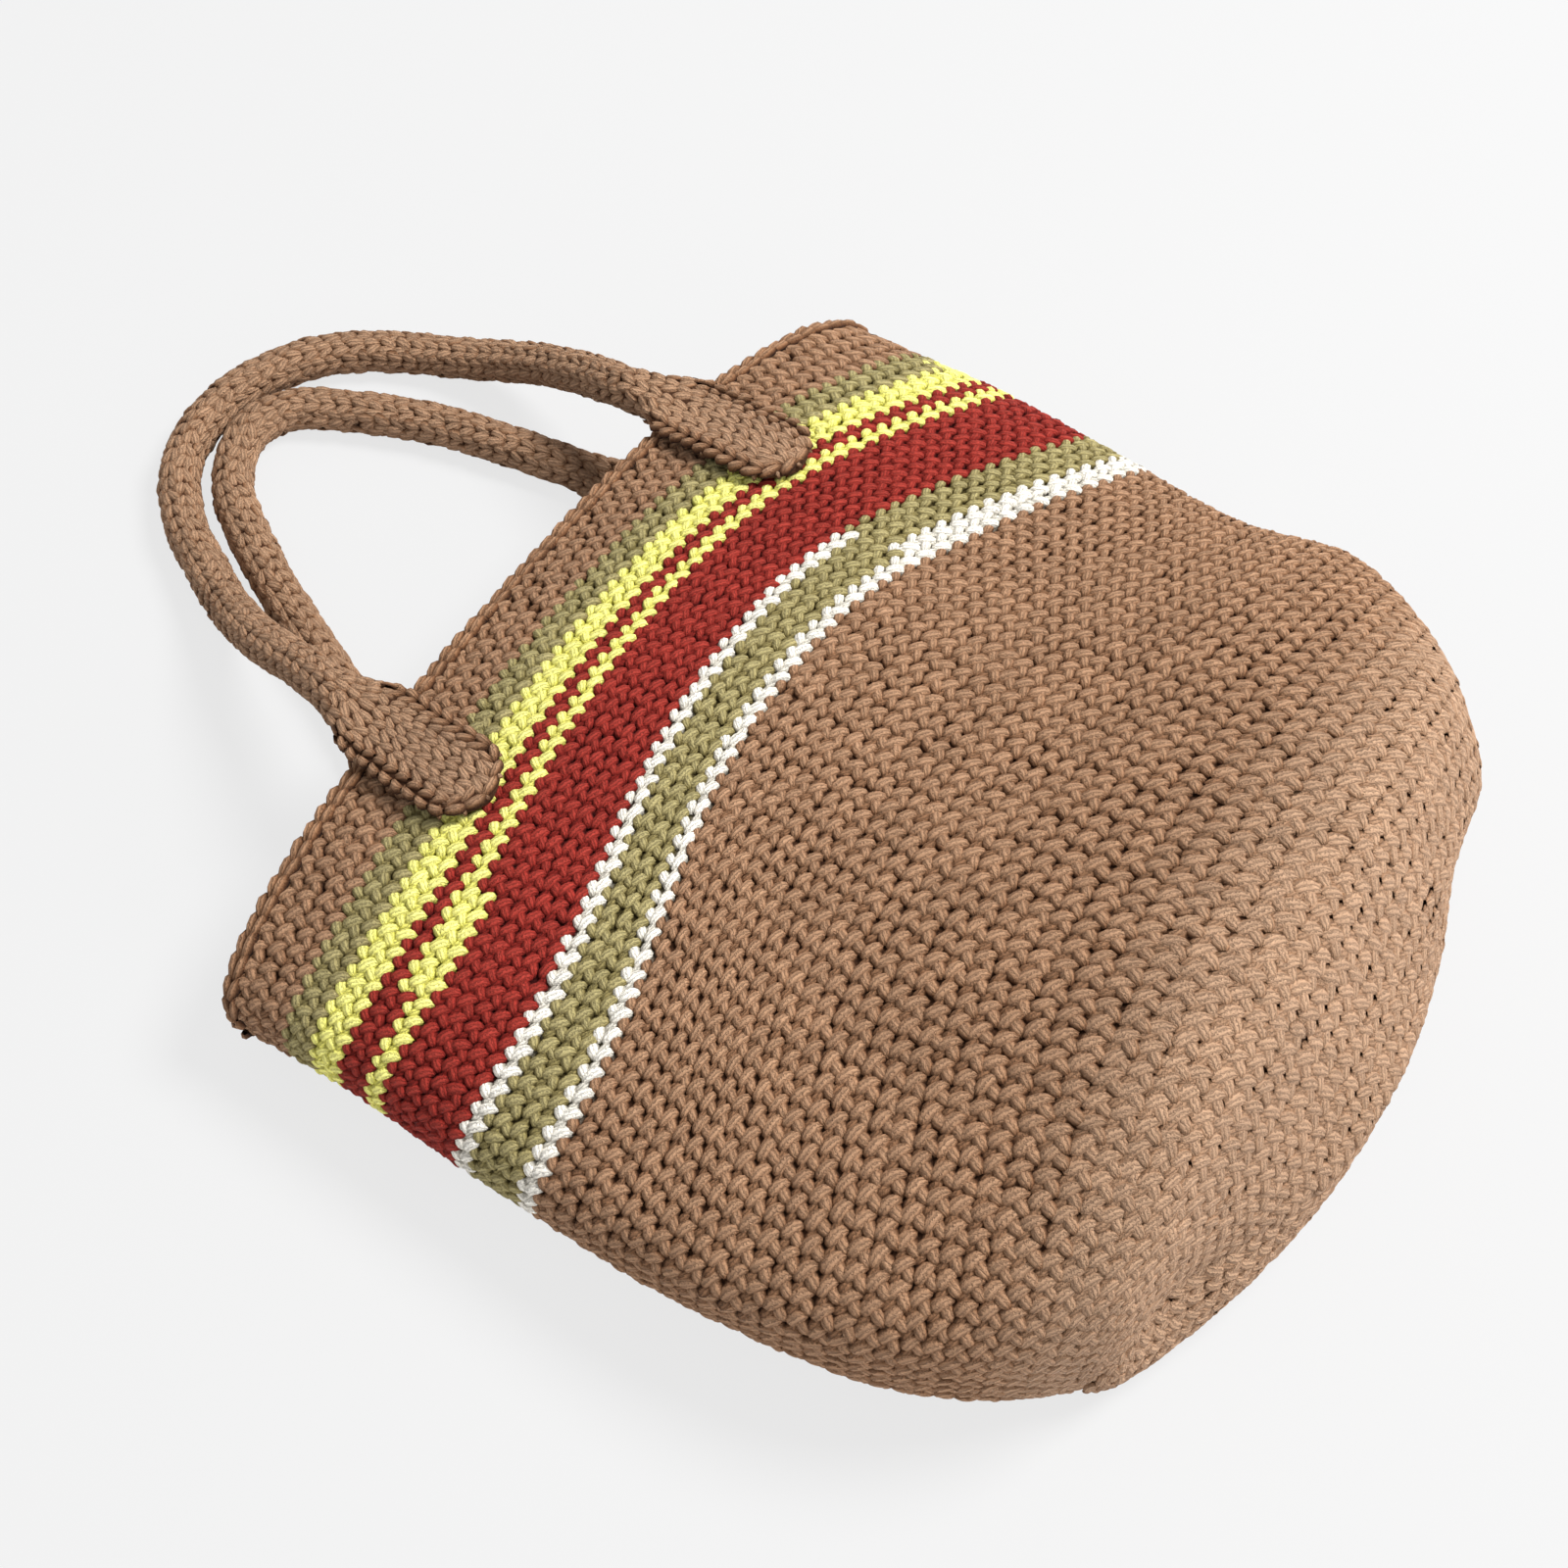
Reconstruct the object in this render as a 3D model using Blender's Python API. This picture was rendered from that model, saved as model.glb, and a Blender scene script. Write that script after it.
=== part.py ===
"""Crocheted cotton tote bag, lying on its back wall, with its two handles loose on the floor.

The bag is one piece of fabric, worked in a spiral from the middle of its round base up to the
mouth. It lies along X, with its mouth towards -X and its base towards +X. The base has folded
flat across its middle, so it shows as an upper and a lower half with a crease between them.

A place on the fabric is given by a round and a turn. Rounds count from the mouth, 0, over the
edge of the base, 49, to the crease, 57, and on into the fold. The turn is in degrees round the
bag: 0 is its right side (+Y), 90 its front wall, 180 its left side and 270 its back wall.
"""

import math
from collections import namedtuple

import bmesh
import bpy
from mathutils import Vector
from mathutils.bvhtree import BVHTree

MM = 0.001

# Rounds of crochet, counted from the mouth
BASE_EDGE = 49
CREASE = 57
FOLD_END = 60
SPIRAL_START = -0.3          # how far the first round is cut short by the finished edge

# Cross-sections of the bag as it lies, in mm: half widths to the right and left, how far along
# the bag its right side, left side and top are, and the heights of its top and of its sides
Section = namedtuple("Section", "round right left at_right at_left at_top top side full lean sweep")
SECTIONS = (
    Section(0, 203, 188, 90, 78, 61, 59, 21, 3.3, -11, 1.2),          # mouth
    Section(6, 196, 186, 142, 114, 100, 73, 28, 3.4, 6, 3.2),         # handle tabs
    Section(19, 188, 186, 225, 199, 167, 77, 33, 3.6, 20, 4.4),       # end of the stripes
    Section(31, 191, 181, 280, 283, 242, 80, 35, 3.7, -6, 3.3),       # waist
    Section(40, 193, 165, 330, 349, 309, 100, 34, 3.6, -2, 2.9),      # belly
    Section(49, 156, 130, 385, 396, 388, 117, 26, 3.2, 4, 2.9),       # edge of the base
    Section(53, 135, 117, 406, 402, 412, 81, 38, 2.9, 6, 3.1),        # upper half of the base
    Section(57, 94, 100, 412, 403, 433, 49, 44, 2.9, 6, 2.8),         # crease
)
SIDE_FULLNESS = 2.3          # how square the front wall's sides are, 2 is an ellipse

# Back wall, which lies flat on the floor
BACK_MOUTH = 52 * MM
BACK_BASE = 400 * MM
BACK_SWEEP = 1.5
FLAT_FROM = 0.57             # sine of the turn below the side at which the wall meets the floor
UNDER_FULLNESS = 2.5
LIFT_END = 17                # round at which the wall comes down to the floor behind the tabs

# Fold across the base
LOBE_BULGE = 18 * MM
FOLD_DEPTH = 28 * MM
FOLD_GAP = 2 * MM
FOLD_CENTRE = 340 * MM       # place along the bag that the fold faces

# Fabric
WALL = 6 * MM
RIDGE = 1.6 * MM             # how far the middle of a round stands out from its edges
LIP = 2.5 * MM

# Hollows pressed into the front wall: place along and across, reach, and depth, in mm
Hollow = namedtuple("Hollow", "along across reach depth")
HOLLOWS = (
    Hollow(200, 104, 34, 5),
    Hollow(284, 72, 26, 5),
    Hollow(276, 32, 26, 4),
    Hollow(283, -100, 30, 4),
)

# Handles
HANDLE_THICKNESS = 17.5 * MM
TAB_WIDTH = 34 * MM
TAB_THICKNESS = 6.5 * MM
TAB_LENGTH = 56 * MM         # flat part of the strip at each end
ROLL_LENGTH = 36 * MM        # stretch over which the flat strip rolls up into the round handle
DRAPED_LENGTH = 57 * MM      # part of the strip that follows the front wall
DRAPE_END = 30 * MM          # stretch over which it leaves the wall
CLEARANCE = 0.4 * MM
STATION_STEP = 11 * MM
HANDLE_SIDES = 12
TIP_ANGLES = (15, 35, 60)     # degrees round a tab's end at which it has a cross-section

# Routes of the handles' middle lines between the tabs, in mm. The first two points and the
# last two are the tip of a tab and the place where it passes the mouth's edge
FRONT_ROUTE = (
    (130, 96, 0), (66, 106, 0), (38, 107, 53), (11, 112, 39), (-18, 113, 25), (-46, 108, 14),
    (-72, 99, 9), (-96, 84, 9), (-114, 64, 9), (-124, 37, 9), (-124, 14, 9), (-116, -7, 9),
    (-96, -27, 9), (-66, -43, 12), (-44, -53, 19), (-18, -62, 32), (12, -68, 46), (38, -74, 57),
    (62, -77, 0), (120, -85, 0),
)
BACK_ROUTE = (
    (112, 96, 0), (50, 92, 0), (16, 86, 9), (-14, 80, 9), (-44, 72, 9), (-78, 57, 9),
    (-98, 44, 9), (-105, 28, 9), (-101, 11, 9), (-87, -6, 9), (-60, -22, 9), (-30, -36, 9),
    (9, -52, 9), (50, -69, 0), (112, -76, 0),
)

# Places along the yarn where its colour changes, in rounds from the mouth. The part after the
# point says how far round the bag the change lies, from the middle of the back over the left
COLOUR_CHANGES = (
    (4.0, "brown"),
    (5.48, "olive"),
    (8.0, "yellow"),
    (9.34, "red"),
    (10.39, "yellow"),
    (15.95, "red"),
    (16.55, "white"),
    (19.55, "olive"),
    (20.95, "white"),
    (99.0, "brown"),
)
COLOURS = {
    "brown": (0.33, 0.19, 0.12),
    "olive": (0.37, 0.30, 0.13),
    "yellow": (0.88, 0.84, 0.28),
    "red": (0.30, 0.035, 0.03),
    "white": (0.82, 0.78, 0.68),
}
YARN_ROUGHNESS = 0.9

# Turns at which the fabric's columns of faces stand, from the middle of the back over the left
FRONT_COLUMNS = 20
TURNS = (
    [270, 240, 215, 203, 191]
    + [180 - 180 * step / FRONT_COLUMNS for step in range(FRONT_COLUMNS + 1)]
    + [-11, -23, -35, -60]
)
INNER_ROUNDS = (0, 2, 4.5, 8, 12, 16, 20, 24, 28, 32, 35.5, 39, 42.5, 46, 48.5, 51, 53)


def ease(share):
    """A share from 0 to 1, eased at both ends."""
    share = min(max(share, 0.0), 1.0)
    return share * share * (3 - 2 * share)


def along(field, at_round):
    """One size of the sections, carried smoothly from section to section."""
    rounds = [section.round for section in SECTIONS]
    values = [getattr(section, field) for section in SECTIONS]
    steps = [b - a for a, b in zip(rounds, rounds[1:])]
    rises = [(b - a) / step for a, b, step in zip(values, values[1:], steps)]
    slopes = [rises[0]]
    for before, after, step, step_after in zip(rises, rises[1:], steps, steps[1:]):
        slopes.append((before * step_after + after * step) / (step + step_after))
    slopes.append(rises[-1])
    if at_round <= 0:
        return values[0] + slopes[0] * at_round
    at = max(i for i in range(len(steps)) if rounds[i] <= at_round)
    t = (at_round - rounds[at]) / steps[at]
    return (
        (2 * t**3 - 3 * t**2 + 1) * values[at]
        + (t**3 - 2 * t**2 + t) * steps[at] * slopes[at]
        + (3 * t**2 - 2 * t**3) * values[at + 1]
        + (t**3 - t**2) * steps[at] * slopes[at + 1]
    )


def across_share(turn):
    """Share of the half width that a turn lies to the right, from 1 to -1."""
    cosine = math.cos(math.radians(turn))
    return math.copysign(abs(cosine) ** (2 / SIDE_FULLNESS), cosine)


def side_along(at_round, share):
    """How far along the bag the line between its two sides is."""
    mix = (1 + share) / 2
    return (along("at_left", at_round) * (1 - mix) + along("at_right", at_round) * mix) * MM


def half_width(at_round, share):
    return along("right" if share > 0 else "left", at_round) * MM


def hollow_depth(x, y):
    """How deep the hollows press the front wall in at a place seen from above."""
    depth = 0
    for hollow in HOLLOWS:
        away = math.hypot(x - hollow.along * MM, y - hollow.across * MM) / (hollow.reach * MM)
        depth += hollow.depth * MM * math.exp(-away * away)
    return depth


def front_point(at_round, turn):
    """Point on the front wall, turn 0 to 180."""
    share = across_share(turn)
    sine = max(math.sin(math.radians(turn)), 0.0)
    side = along("side", at_round) * MM
    top = along("top", at_round) * MM
    x_side = side_along(at_round, share)
    x_top = along("at_top", at_round) * MM
    x = x_side + (x_top - x_side) * sine ** along("sweep", at_round)
    y = half_width(at_round, share) * share + along("lean", at_round) * MM * sine
    z = side + (top - side) * sine ** (2 / along("full", at_round))
    return Vector((x, y, z - hollow_depth(x, y) * sine))


def back_lift(at_round):
    """Height of the back wall over the floor, where it lies on the tabs of the back handle."""
    tab_end = LIFT_END * 0.55
    over_tab = TAB_THICKNESS + 2 * CLEARANCE
    return over_tab * (1 - ease((at_round - tab_end) / (LIFT_END - tab_end)))


def back_point(at_round, turn):
    """Point on the back wall, turn 180 to 360, up to the edge of the base."""
    share = across_share(turn)
    sine = max(-math.sin(math.radians(turn)), 0.0)
    side = along("side", at_round) * MM
    lift = back_lift(at_round)
    drop = min(sine / FLAT_FROM, 1.0) ** (2 / UNDER_FULLNESS)
    x_side = side_along(at_round, share)
    x_back = BACK_MOUTH + (BACK_BASE - BACK_MOUTH) * at_round / BASE_EDGE
    x = x_side + (x_back - x_side) * sine**BACK_SWEEP
    return Vector((x, half_width(at_round, share) * share, lift + (side - lift) * (1 - drop)))


def crease_outward(turn):
    """Direction in plan, away from the bag, at a place on the crease."""
    place = front_point(CREASE, turn)
    return Vector((place.x - FOLD_CENTRE, place.y * 0.65, 0)).normalized()


def lower_base_point(at_round, turn):
    """Point on the lower half of the base, from the floor up to the crease."""
    sine = max(-math.sin(math.radians(turn)), 0.0)
    rise = (at_round - BASE_EDGE) / (CREASE - BASE_EDGE)
    start = back_point(BASE_EDGE, turn)
    end = front_point(CREASE, 360 - turn) - Vector((0, 0, FOLD_GAP * min(sine * 4, 1)))
    bulge = LOBE_BULGE * sine**0.7 * math.sin(math.pi * rise**0.7)
    point = start.lerp(end, rise) + crease_outward(360 - turn) * bulge
    point.z = start.z + (end.z - start.z) * rise**1.25
    side_turn = 180 if turn < 270 else 0
    side_start = front_point(BASE_EDGE, side_turn)
    side_end = front_point(CREASE, side_turn)
    side_line = side_start.lerp(side_end, rise)
    side_line.z = side_start.z + (side_end.z - side_start.z) * rise**1.25
    return point + (front_point(at_round, side_turn) - side_line) * (1 - sine) ** 3


def fold_point(at_round, turn):
    """Point inside the fold, whose two faces lie close together."""
    inward = (at_round - CREASE) / (FOLD_END - CREASE)
    mirrored = 360 - turn if turn > 180 else turn
    sine = math.sin(math.radians(mirrored))
    point = front_point(CREASE, mirrored)
    point -= crease_outward(mirrored) * FOLD_DEPTH * sine**0.8 * inward
    if turn > 180:
        point.z -= FOLD_GAP * min(sine * 4, 1)
    return point


def fold_cover_point(inward, turn):
    """Point on the inner side of the fabric, where it passes round the fold."""
    mirrored = 360 - turn if turn > 180 else turn
    sine = math.sin(math.radians(mirrored))
    point = fold_point(CREASE + (FOLD_END - CREASE) * inward, turn)
    point -= crease_outward(mirrored) * WALL * (1 + 0.6 * inward)
    point.z += math.copysign(WALL * min(sine * 4, 1), 180 - turn)
    return point


def fabric_point(at_round, turn):
    """Outer side of the fabric between the rounds' ridges."""
    turn %= 360
    if at_round > CREASE:
        return fold_point(at_round, turn)
    if turn <= 180:
        return front_point(at_round, turn)
    if at_round > BASE_EDGE:
        return lower_base_point(at_round, turn)
    return back_point(at_round, turn)


def fabric_outward(at_round, turn):
    """Direction straight out of the fabric's outer side."""
    low, high = at_round - 0.3, min(at_round + 0.3, CREASE)
    along_bag = fabric_point(high, turn) - fabric_point(low, turn)
    round_bag = fabric_point(at_round, turn + 2) - fabric_point(at_round, turn - 2)
    return round_bag.cross(along_bag).normalized()


def ridge_share(turn):
    """Share of the ridges' height that shows: they are pressed flat on the floor."""
    sine = -math.sin(math.radians(turn))
    return 1 - ease(sine / FLAT_FROM)


def way_round(turn):
    """Share of a round from the middle of the back wall, over the left side, to a turn."""
    return ((270 - turn) % 360) / 360


def spiral_lay(turn):
    """Share of a round by which the spiral has risen: it climbs along the back wall."""
    share = way_round(turn)
    if share < 0.25:
        return 2 * share
    return 0.5 if share < 0.75 else 2 * share - 1


def outer_point(ring, turn):
    """Point on a ring of the spiral: even rings lie between two rounds, odd ones on a ridge."""
    at_round = ring / 2 + spiral_lay(turn) + SPIRAL_START
    point = fabric_point(at_round, turn)
    if ring % 2:
        point += fabric_outward(at_round, turn) * RIDGE * ridge_share(turn)
    return point


def yarn_colour(ring, column):
    """Colour of the yarn in the face that starts at a ring and a column."""
    end = way_round(TURNS[column + 1]) if column + 1 < len(TURNS) else 1
    place = ring // 2 + (way_round(TURNS[column]) + end) / 2
    return next(colour for end, colour in COLOUR_CHANGES if place < end)


def yarn_material(colour):
    material = bpy.data.materials.new(colour + "_yarn")
    material.use_nodes = True
    shader = material.node_tree.nodes["Principled BSDF"]
    shader.inputs["Base Color"].default_value = (*COLOURS[colour], 1)
    shader.inputs["Roughness"].default_value = YARN_ROUGHNESS
    shader.inputs["Metallic"].default_value = 0
    return material


def add_object(name, mesh_builder, materials, collection, parent):
    """Object from a bmesh, smooth, with its faces pointing out."""
    mesh = bpy.data.meshes.new(name)
    mesh_builder.to_mesh(mesh)
    mesh_builder.free()
    for material in materials:
        mesh.materials.append(material)
    mesh.shade_smooth()
    piece = bpy.data.objects.new(name, mesh)
    piece.parent = parent
    collection.objects.link(piece)
    return piece


def ring_of(builder, at_round):
    """Flat ring of vertices at one round."""
    return [builder.verts.new(fabric_point(at_round, turn)) for turn in TURNS]


def join_rings(builder, first, second):
    for column in range(len(first)):
        after = (column + 1) % len(first)
        builder.faces.new((first[column], second[column], second[after], first[after]))


def build_body(collection, parent, materials):
    """The bag: the spiral of rounds outside, the fold in the base, and the inner side."""
    builder = bmesh.new()
    columns = len(TURNS)
    mouth = ring_of(builder, 0)
    rings = [mouth]
    last_ring = 2 * (CREASE - 1) - 1
    for ring in range(1, last_ring + 1):
        rings.append([builder.verts.new(outer_point(ring, turn)) for turn in TURNS])
    seam_end = [builder.verts.new(outer_point(last_ring + step, TURNS[0])) for step in (1, 2)]
    crease = ring_of(builder, CREASE)

    def next_round(ring):
        """Vertex that follows the last one of a ring, two rings on."""
        return rings[ring + 2][0] if ring + 2 <= last_ring else seam_end[ring + 1 - last_ring]

    names = list(COLOURS)
    for ring in range(1, last_ring):
        for column in range(columns):
            last = column == columns - 1
            corner = next_round(ring) if last else rings[ring][column + 1]
            corner_up = next_round(ring + 1) if last else rings[ring + 1][column + 1]
            face = builder.faces.new((rings[ring][column], rings[ring + 1][column], corner_up, corner))
            face.material_index = names.index(yarn_colour(ring, column))
    for column in range(columns - 1):
        builder.faces.new((mouth[column], rings[1][column], rings[1][column + 1], mouth[column + 1]))
        if column:
            builder.faces.new((rings[-1][column], crease[column], crease[column + 1], rings[-1][column + 1]))
    builder.faces.new((mouth[-1], rings[1][-1], rings[3][0], rings[2][0], rings[1][0], mouth[0]))
    builder.faces.new((rings[-1][-1], crease[-1], crease[0], seam_end[1]))
    builder.faces.new((rings[-1][0], seam_end[0], seam_end[1], crease[0], crease[1], rings[-1][1]))

    middle = ring_of(builder, (CREASE + FOLD_END) / 2)
    end = ring_of(builder, FOLD_END)
    join_rings(builder, crease, middle)
    join_rings(builder, middle, end)
    builder.faces.new(end)

    lip = []
    inner = []
    for turn in TURNS:
        outward = fabric_outward(0, turn)
        edge = fabric_point(0, turn)
        towards = (fabric_point(0, turn) - fabric_point(1, turn)).normalized()
        lip.append(builder.verts.new(edge - outward * WALL / 2 + towards * LIP))
    for at_round in INNER_ROUNDS:
        inner.append([
            builder.verts.new(fabric_point(at_round, turn) - fabric_outward(at_round, turn) * WALL)
            for turn in TURNS
        ])
    for inward in (0.4, 1):
        inner.append([builder.verts.new(fold_cover_point(inward, turn % 360)) for turn in TURNS])
    join_rings(builder, lip, mouth)
    join_rings(builder, inner[0], lip)
    for first, second in zip(inner, inner[1:]):
        join_rings(builder, second, first)
    builder.faces.new(inner[-1])
    bmesh.ops.recalc_face_normals(builder, faces=builder.faces)
    return add_object("body", builder, materials, collection, parent)


def front_guide():
    """Smooth sheet over the ridges of the front wall, reaching a little past the mouth."""
    rounds = range(-8, 40)
    turns = range(10, 171, 5)
    points = [
        fabric_point(at_round, turn) + fabric_outward(at_round, turn) * RIDGE
        for at_round in rounds for turn in turns
    ]
    wide = len(turns)
    faces = [
        (row * wide + i, row * wide + i + 1, (row + 1) * wide + i + 1, (row + 1) * wide + i)
        for row in range(len(rounds) - 1) for i in range(wide - 1)
    ]
    return BVHTree.FromPolygons(points, faces)


def on_front(guide, x, y):
    """Place on the front wall below a point, and the direction out of the wall."""
    hit, outward, _, _ = guide.ray_cast(Vector((x, y, 1)), Vector((0, 0, -1)))
    return hit, (outward if outward.z > 0 else -outward)


def station_distances(length):
    """Where the handle's cross-sections stand: close at its round tips, even between them."""
    radius = TAB_WIDTH / 2
    tip = [radius * (1 - math.cos(math.radians(angle))) for angle in TIP_ANGLES]
    count = round((length - 2 * radius) / STATION_STEP)
    middle = [radius + (length - 2 * radius) * step / count for step in range(count + 1)]
    return tip + middle + [length - distance for distance in reversed(tip)]


def smooth_route(points):
    """Points on a smooth curve through the given ones, and their distances along it."""
    points = [points[0] * 2 - points[1], *points, points[-1] * 2 - points[-2]]
    fine = []
    for a, b, c, d in zip(points, points[1:], points[2:], points[3:]):
        for step in range(12):
            t = step / 12
            fine.append((
                b * 2 + (c - a) * t + (a * 2 - b * 5 + c * 4 - d) * t**2
                + (b * 3 - a - c * 3 + d) * t**3
            ) / 2)
    fine.append(points[-2])
    lengths = [0.0]
    for before, after in zip(fine, fine[1:]):
        lengths.append(lengths[-1] + (after - before).length)
    route = []
    at = 0
    distances = station_distances(lengths[-1])
    for distance in distances:
        while at < len(lengths) - 2 and lengths[at + 1] < distance:
            at += 1
        share = (distance - lengths[at]) / (lengths[at + 1] - lengths[at])
        route.append(fine[at].lerp(fine[at + 1], share))
    return route, distances


def strip_width(from_tip):
    """Width of the handle's strip: a round end, the flat tab, then rolled up round."""
    radius = TAB_WIDTH / 2
    if from_tip < radius:
        return 2 * math.sqrt(max(radius**2 - (radius - from_tip) ** 2, 0))
    rolled = ease((from_tip - TAB_LENGTH) / ROLL_LENGTH)
    return TAB_WIDTH + (HANDLE_THICKNESS - TAB_WIDTH) * rolled


def strip_thickness(from_tip):
    rolled = ease((from_tip - TAB_LENGTH) / ROLL_LENGTH)
    return TAB_THICKNESS + (HANDLE_THICKNESS - TAB_THICKNESS) * rolled


def build_handle(name, route, guide, collection, parent, material):
    """Strip of crochet, flat and round-ended at its tabs and rolled up into a cord between."""
    points = [Vector(point) * MM for point in route]
    for i in (0, 1, -2, -1):
        if guide:
            hit, outward = on_front(guide, points[i].x, points[i].y)
            points[i].z = hit.z + TAB_THICKNESS / 2
        else:
            points[i].z = TAB_THICKNESS / 2
    stations, distances = smooth_route(points)
    length = distances[0] + distances[-1]
    builder = bmesh.new()
    rings = []
    for i, middle in enumerate(stations):
        from_tip = min(distances[i], length - distances[i])
        forward = (stations[min(i + 1, len(stations) - 1)] - stations[max(i - 1, 0)]).normalized()
        upward = (Vector((0, 0, 1)) - forward * forward.z).normalized()
        sideways = forward.cross(upward)
        width, thickness = strip_width(from_tip), strip_thickness(from_tip)
        flat = 1 - ease((from_tip - TAB_LENGTH) / ROLL_LENGTH)
        over_wall = 1 - ease((from_tip - DRAPED_LENGTH) / DRAPE_END)
        if not guide:
            middle.z = thickness / 2 + CLEARANCE / 2
        ring = []
        for side in range(HANDLE_SIDES):
            angle = 2 * math.pi * (side + 0.5) / HANDLE_SIDES
            square = 1 - 0.45 * flat
            a = math.copysign(abs(math.cos(angle)) ** square, math.cos(angle)) * width / 2
            b = math.copysign(abs(math.sin(angle)) ** square, math.sin(angle)) * thickness / 2
            point = middle + sideways * a + upward * b
            if guide and over_wall:
                hit, outward = on_front(guide, point.x, point.y)
                draped = hit + outward * (CLEARANCE + thickness / 2 + b)
                point = point.lerp(draped, over_wall)
            ring.append(builder.verts.new(point))
        rings.append(ring)
    for first, second in zip(rings, rings[1:]):
        join_rings(builder, first, second)
    builder.faces.new(rings[0])
    builder.faces.new(rings[-1])
    bmesh.ops.recalc_face_normals(builder, faces=builder.faces)
    return add_object(name, builder, [material], collection, parent)


def stand_on_origin(parent, pieces):
    """Move the bag so that the origin is under the middle of its bounding box."""
    corners = [vertex.co for piece in pieces for vertex in piece.data.vertices]
    low = [min(corner[axis] for corner in corners) for axis in range(3)]
    high = [max(corner[axis] for corner in corners) for axis in range(3)]
    parent.location = (-(low[0] + high[0]) / 2, -(low[1] + high[1]) / 2, -low[2])


def build_bag():
    for leftover in list(bpy.data.objects):
        bpy.data.objects.remove(leftover)
    collection = bpy.data.collections.new("tote_bag")
    bpy.context.scene.collection.children.link(collection)
    parent = bpy.data.objects.new("tote_bag_origin", None)
    collection.objects.link(parent)
    materials = [yarn_material(colour) for colour in COLOURS]
    brown = materials[0]
    pieces = [
        build_body(collection, parent, materials),
        build_handle("front_handle", FRONT_ROUTE, front_guide(), collection, parent, brown),
        build_handle("back_handle", BACK_ROUTE, None, collection, parent, brown),
    ]
    stand_on_origin(parent, pieces)


build_bag()
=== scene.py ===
# %% [markdown]
# # A crocheted tote bag
#
# The bag is worked by hand in thick cotton cord, in one long spiral from the middle of its round
# base up to the mouth. It lies on its back wall with its two rolled handles loose on the floor.
# What the eye sees first is its single stitches, some six thousand of them, so this lesson is
# mostly about one thing: how to lay one small modelled stitch all along a spiral on a soft,
# sagging form.

# %% Start and load the frame
import math

import bpy
import numpy as np
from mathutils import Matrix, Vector
from mathutils.bvhtree import BVHTree


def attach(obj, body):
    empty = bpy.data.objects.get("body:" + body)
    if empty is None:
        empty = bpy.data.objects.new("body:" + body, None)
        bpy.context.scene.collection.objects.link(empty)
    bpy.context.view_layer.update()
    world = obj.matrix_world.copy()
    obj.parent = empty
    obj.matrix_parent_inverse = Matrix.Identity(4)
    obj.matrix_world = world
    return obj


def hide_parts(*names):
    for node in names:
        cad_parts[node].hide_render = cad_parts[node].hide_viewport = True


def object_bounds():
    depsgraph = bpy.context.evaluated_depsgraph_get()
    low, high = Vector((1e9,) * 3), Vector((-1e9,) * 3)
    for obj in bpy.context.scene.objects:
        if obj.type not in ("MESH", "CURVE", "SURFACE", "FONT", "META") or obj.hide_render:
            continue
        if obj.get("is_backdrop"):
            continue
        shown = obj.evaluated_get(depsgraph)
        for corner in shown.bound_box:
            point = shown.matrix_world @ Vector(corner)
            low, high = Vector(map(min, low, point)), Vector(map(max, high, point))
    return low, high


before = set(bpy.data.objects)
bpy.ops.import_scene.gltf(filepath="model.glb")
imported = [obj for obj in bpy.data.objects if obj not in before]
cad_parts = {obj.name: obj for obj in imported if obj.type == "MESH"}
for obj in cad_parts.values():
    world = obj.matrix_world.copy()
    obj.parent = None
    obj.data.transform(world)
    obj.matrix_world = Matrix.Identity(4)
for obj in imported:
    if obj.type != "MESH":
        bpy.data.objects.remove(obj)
cad_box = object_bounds()
MM = 0.001
print("frame:", sorted(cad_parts))
print("box:", [[round(c, 4) for c in corner] for corner in cad_box])

# %% [markdown]
# ## The form of the bag
#
# Crochet is counted in rounds, so the form is given by rounds too. Round 0 is the mouth, 49 the
# edge of the base and 57 the crease where the base has folded flat. Every place on the fabric has
# a round and a turn, an angle about the bag: 0 is its right side, 90 the front wall on top, 180
# its left side and 270 the back wall on the floor. A table of eight cross-sections with smooth
# curves through their sizes is enough for the sag of the whole bag. Numpy works on all places at
# once.

# %% Cross-sections of the bag, in mm
SHIFT = np.array((-150.51, -7.20, 0)) * MM  # from the floor under the mouth to the origin
BASE_EDGE = 49
CREASE = 57
FOLD_END = 60
ROUNDS = np.array((0, 6, 19, 31, 40, 49, 53, 57))
# Half widths, places along of the sides and the top, heights of the top and the sides, fullness,
# lean of the top, and how late the place along passes from the sides to the top
SECTIONS = {
    "right": (203, 196, 188, 191, 193, 156, 135, 94),
    "left": (188, 186, 186, 181, 165, 130, 117, 100),
    "at_right": (90, 142, 225, 280, 330, 385, 406, 412),
    "at_left": (78, 114, 199, 283, 349, 396, 402, 403),
    "at_top": (61, 100, 167, 242, 309, 388, 412, 433),
    "top": (59, 73, 77, 80, 100, 117, 81, 49),
    "side": (21, 28, 33, 35, 34, 26, 38, 44),
    "full": (3.3, 3.4, 3.6, 3.7, 3.6, 3.2, 2.9, 2.9),
    "lean": (-11, 6, 20, -6, -2, 4, 6, 6),
    "sweep": (1.2, 3.2, 4.4, 3.3, 2.9, 2.9, 3.1, 2.8),
}
SIDE_FULLNESS = 2.3
BACK_MOUTH = 52 * MM
BACK_BASE = 400 * MM
FLAT_FROM = 0.57
LIFTED_TO = 9.35  # the back tabs lift the back wall up to this round
LIFT_FADES = 7.65
BASE_MIDDLE = 340 * MM
BASE_FLATNESS = 0.65
BASE_BULGE = 18 * MM
FOLD_DEPTH = 28 * MM
FOLD_GAP = 2 * MM
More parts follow.
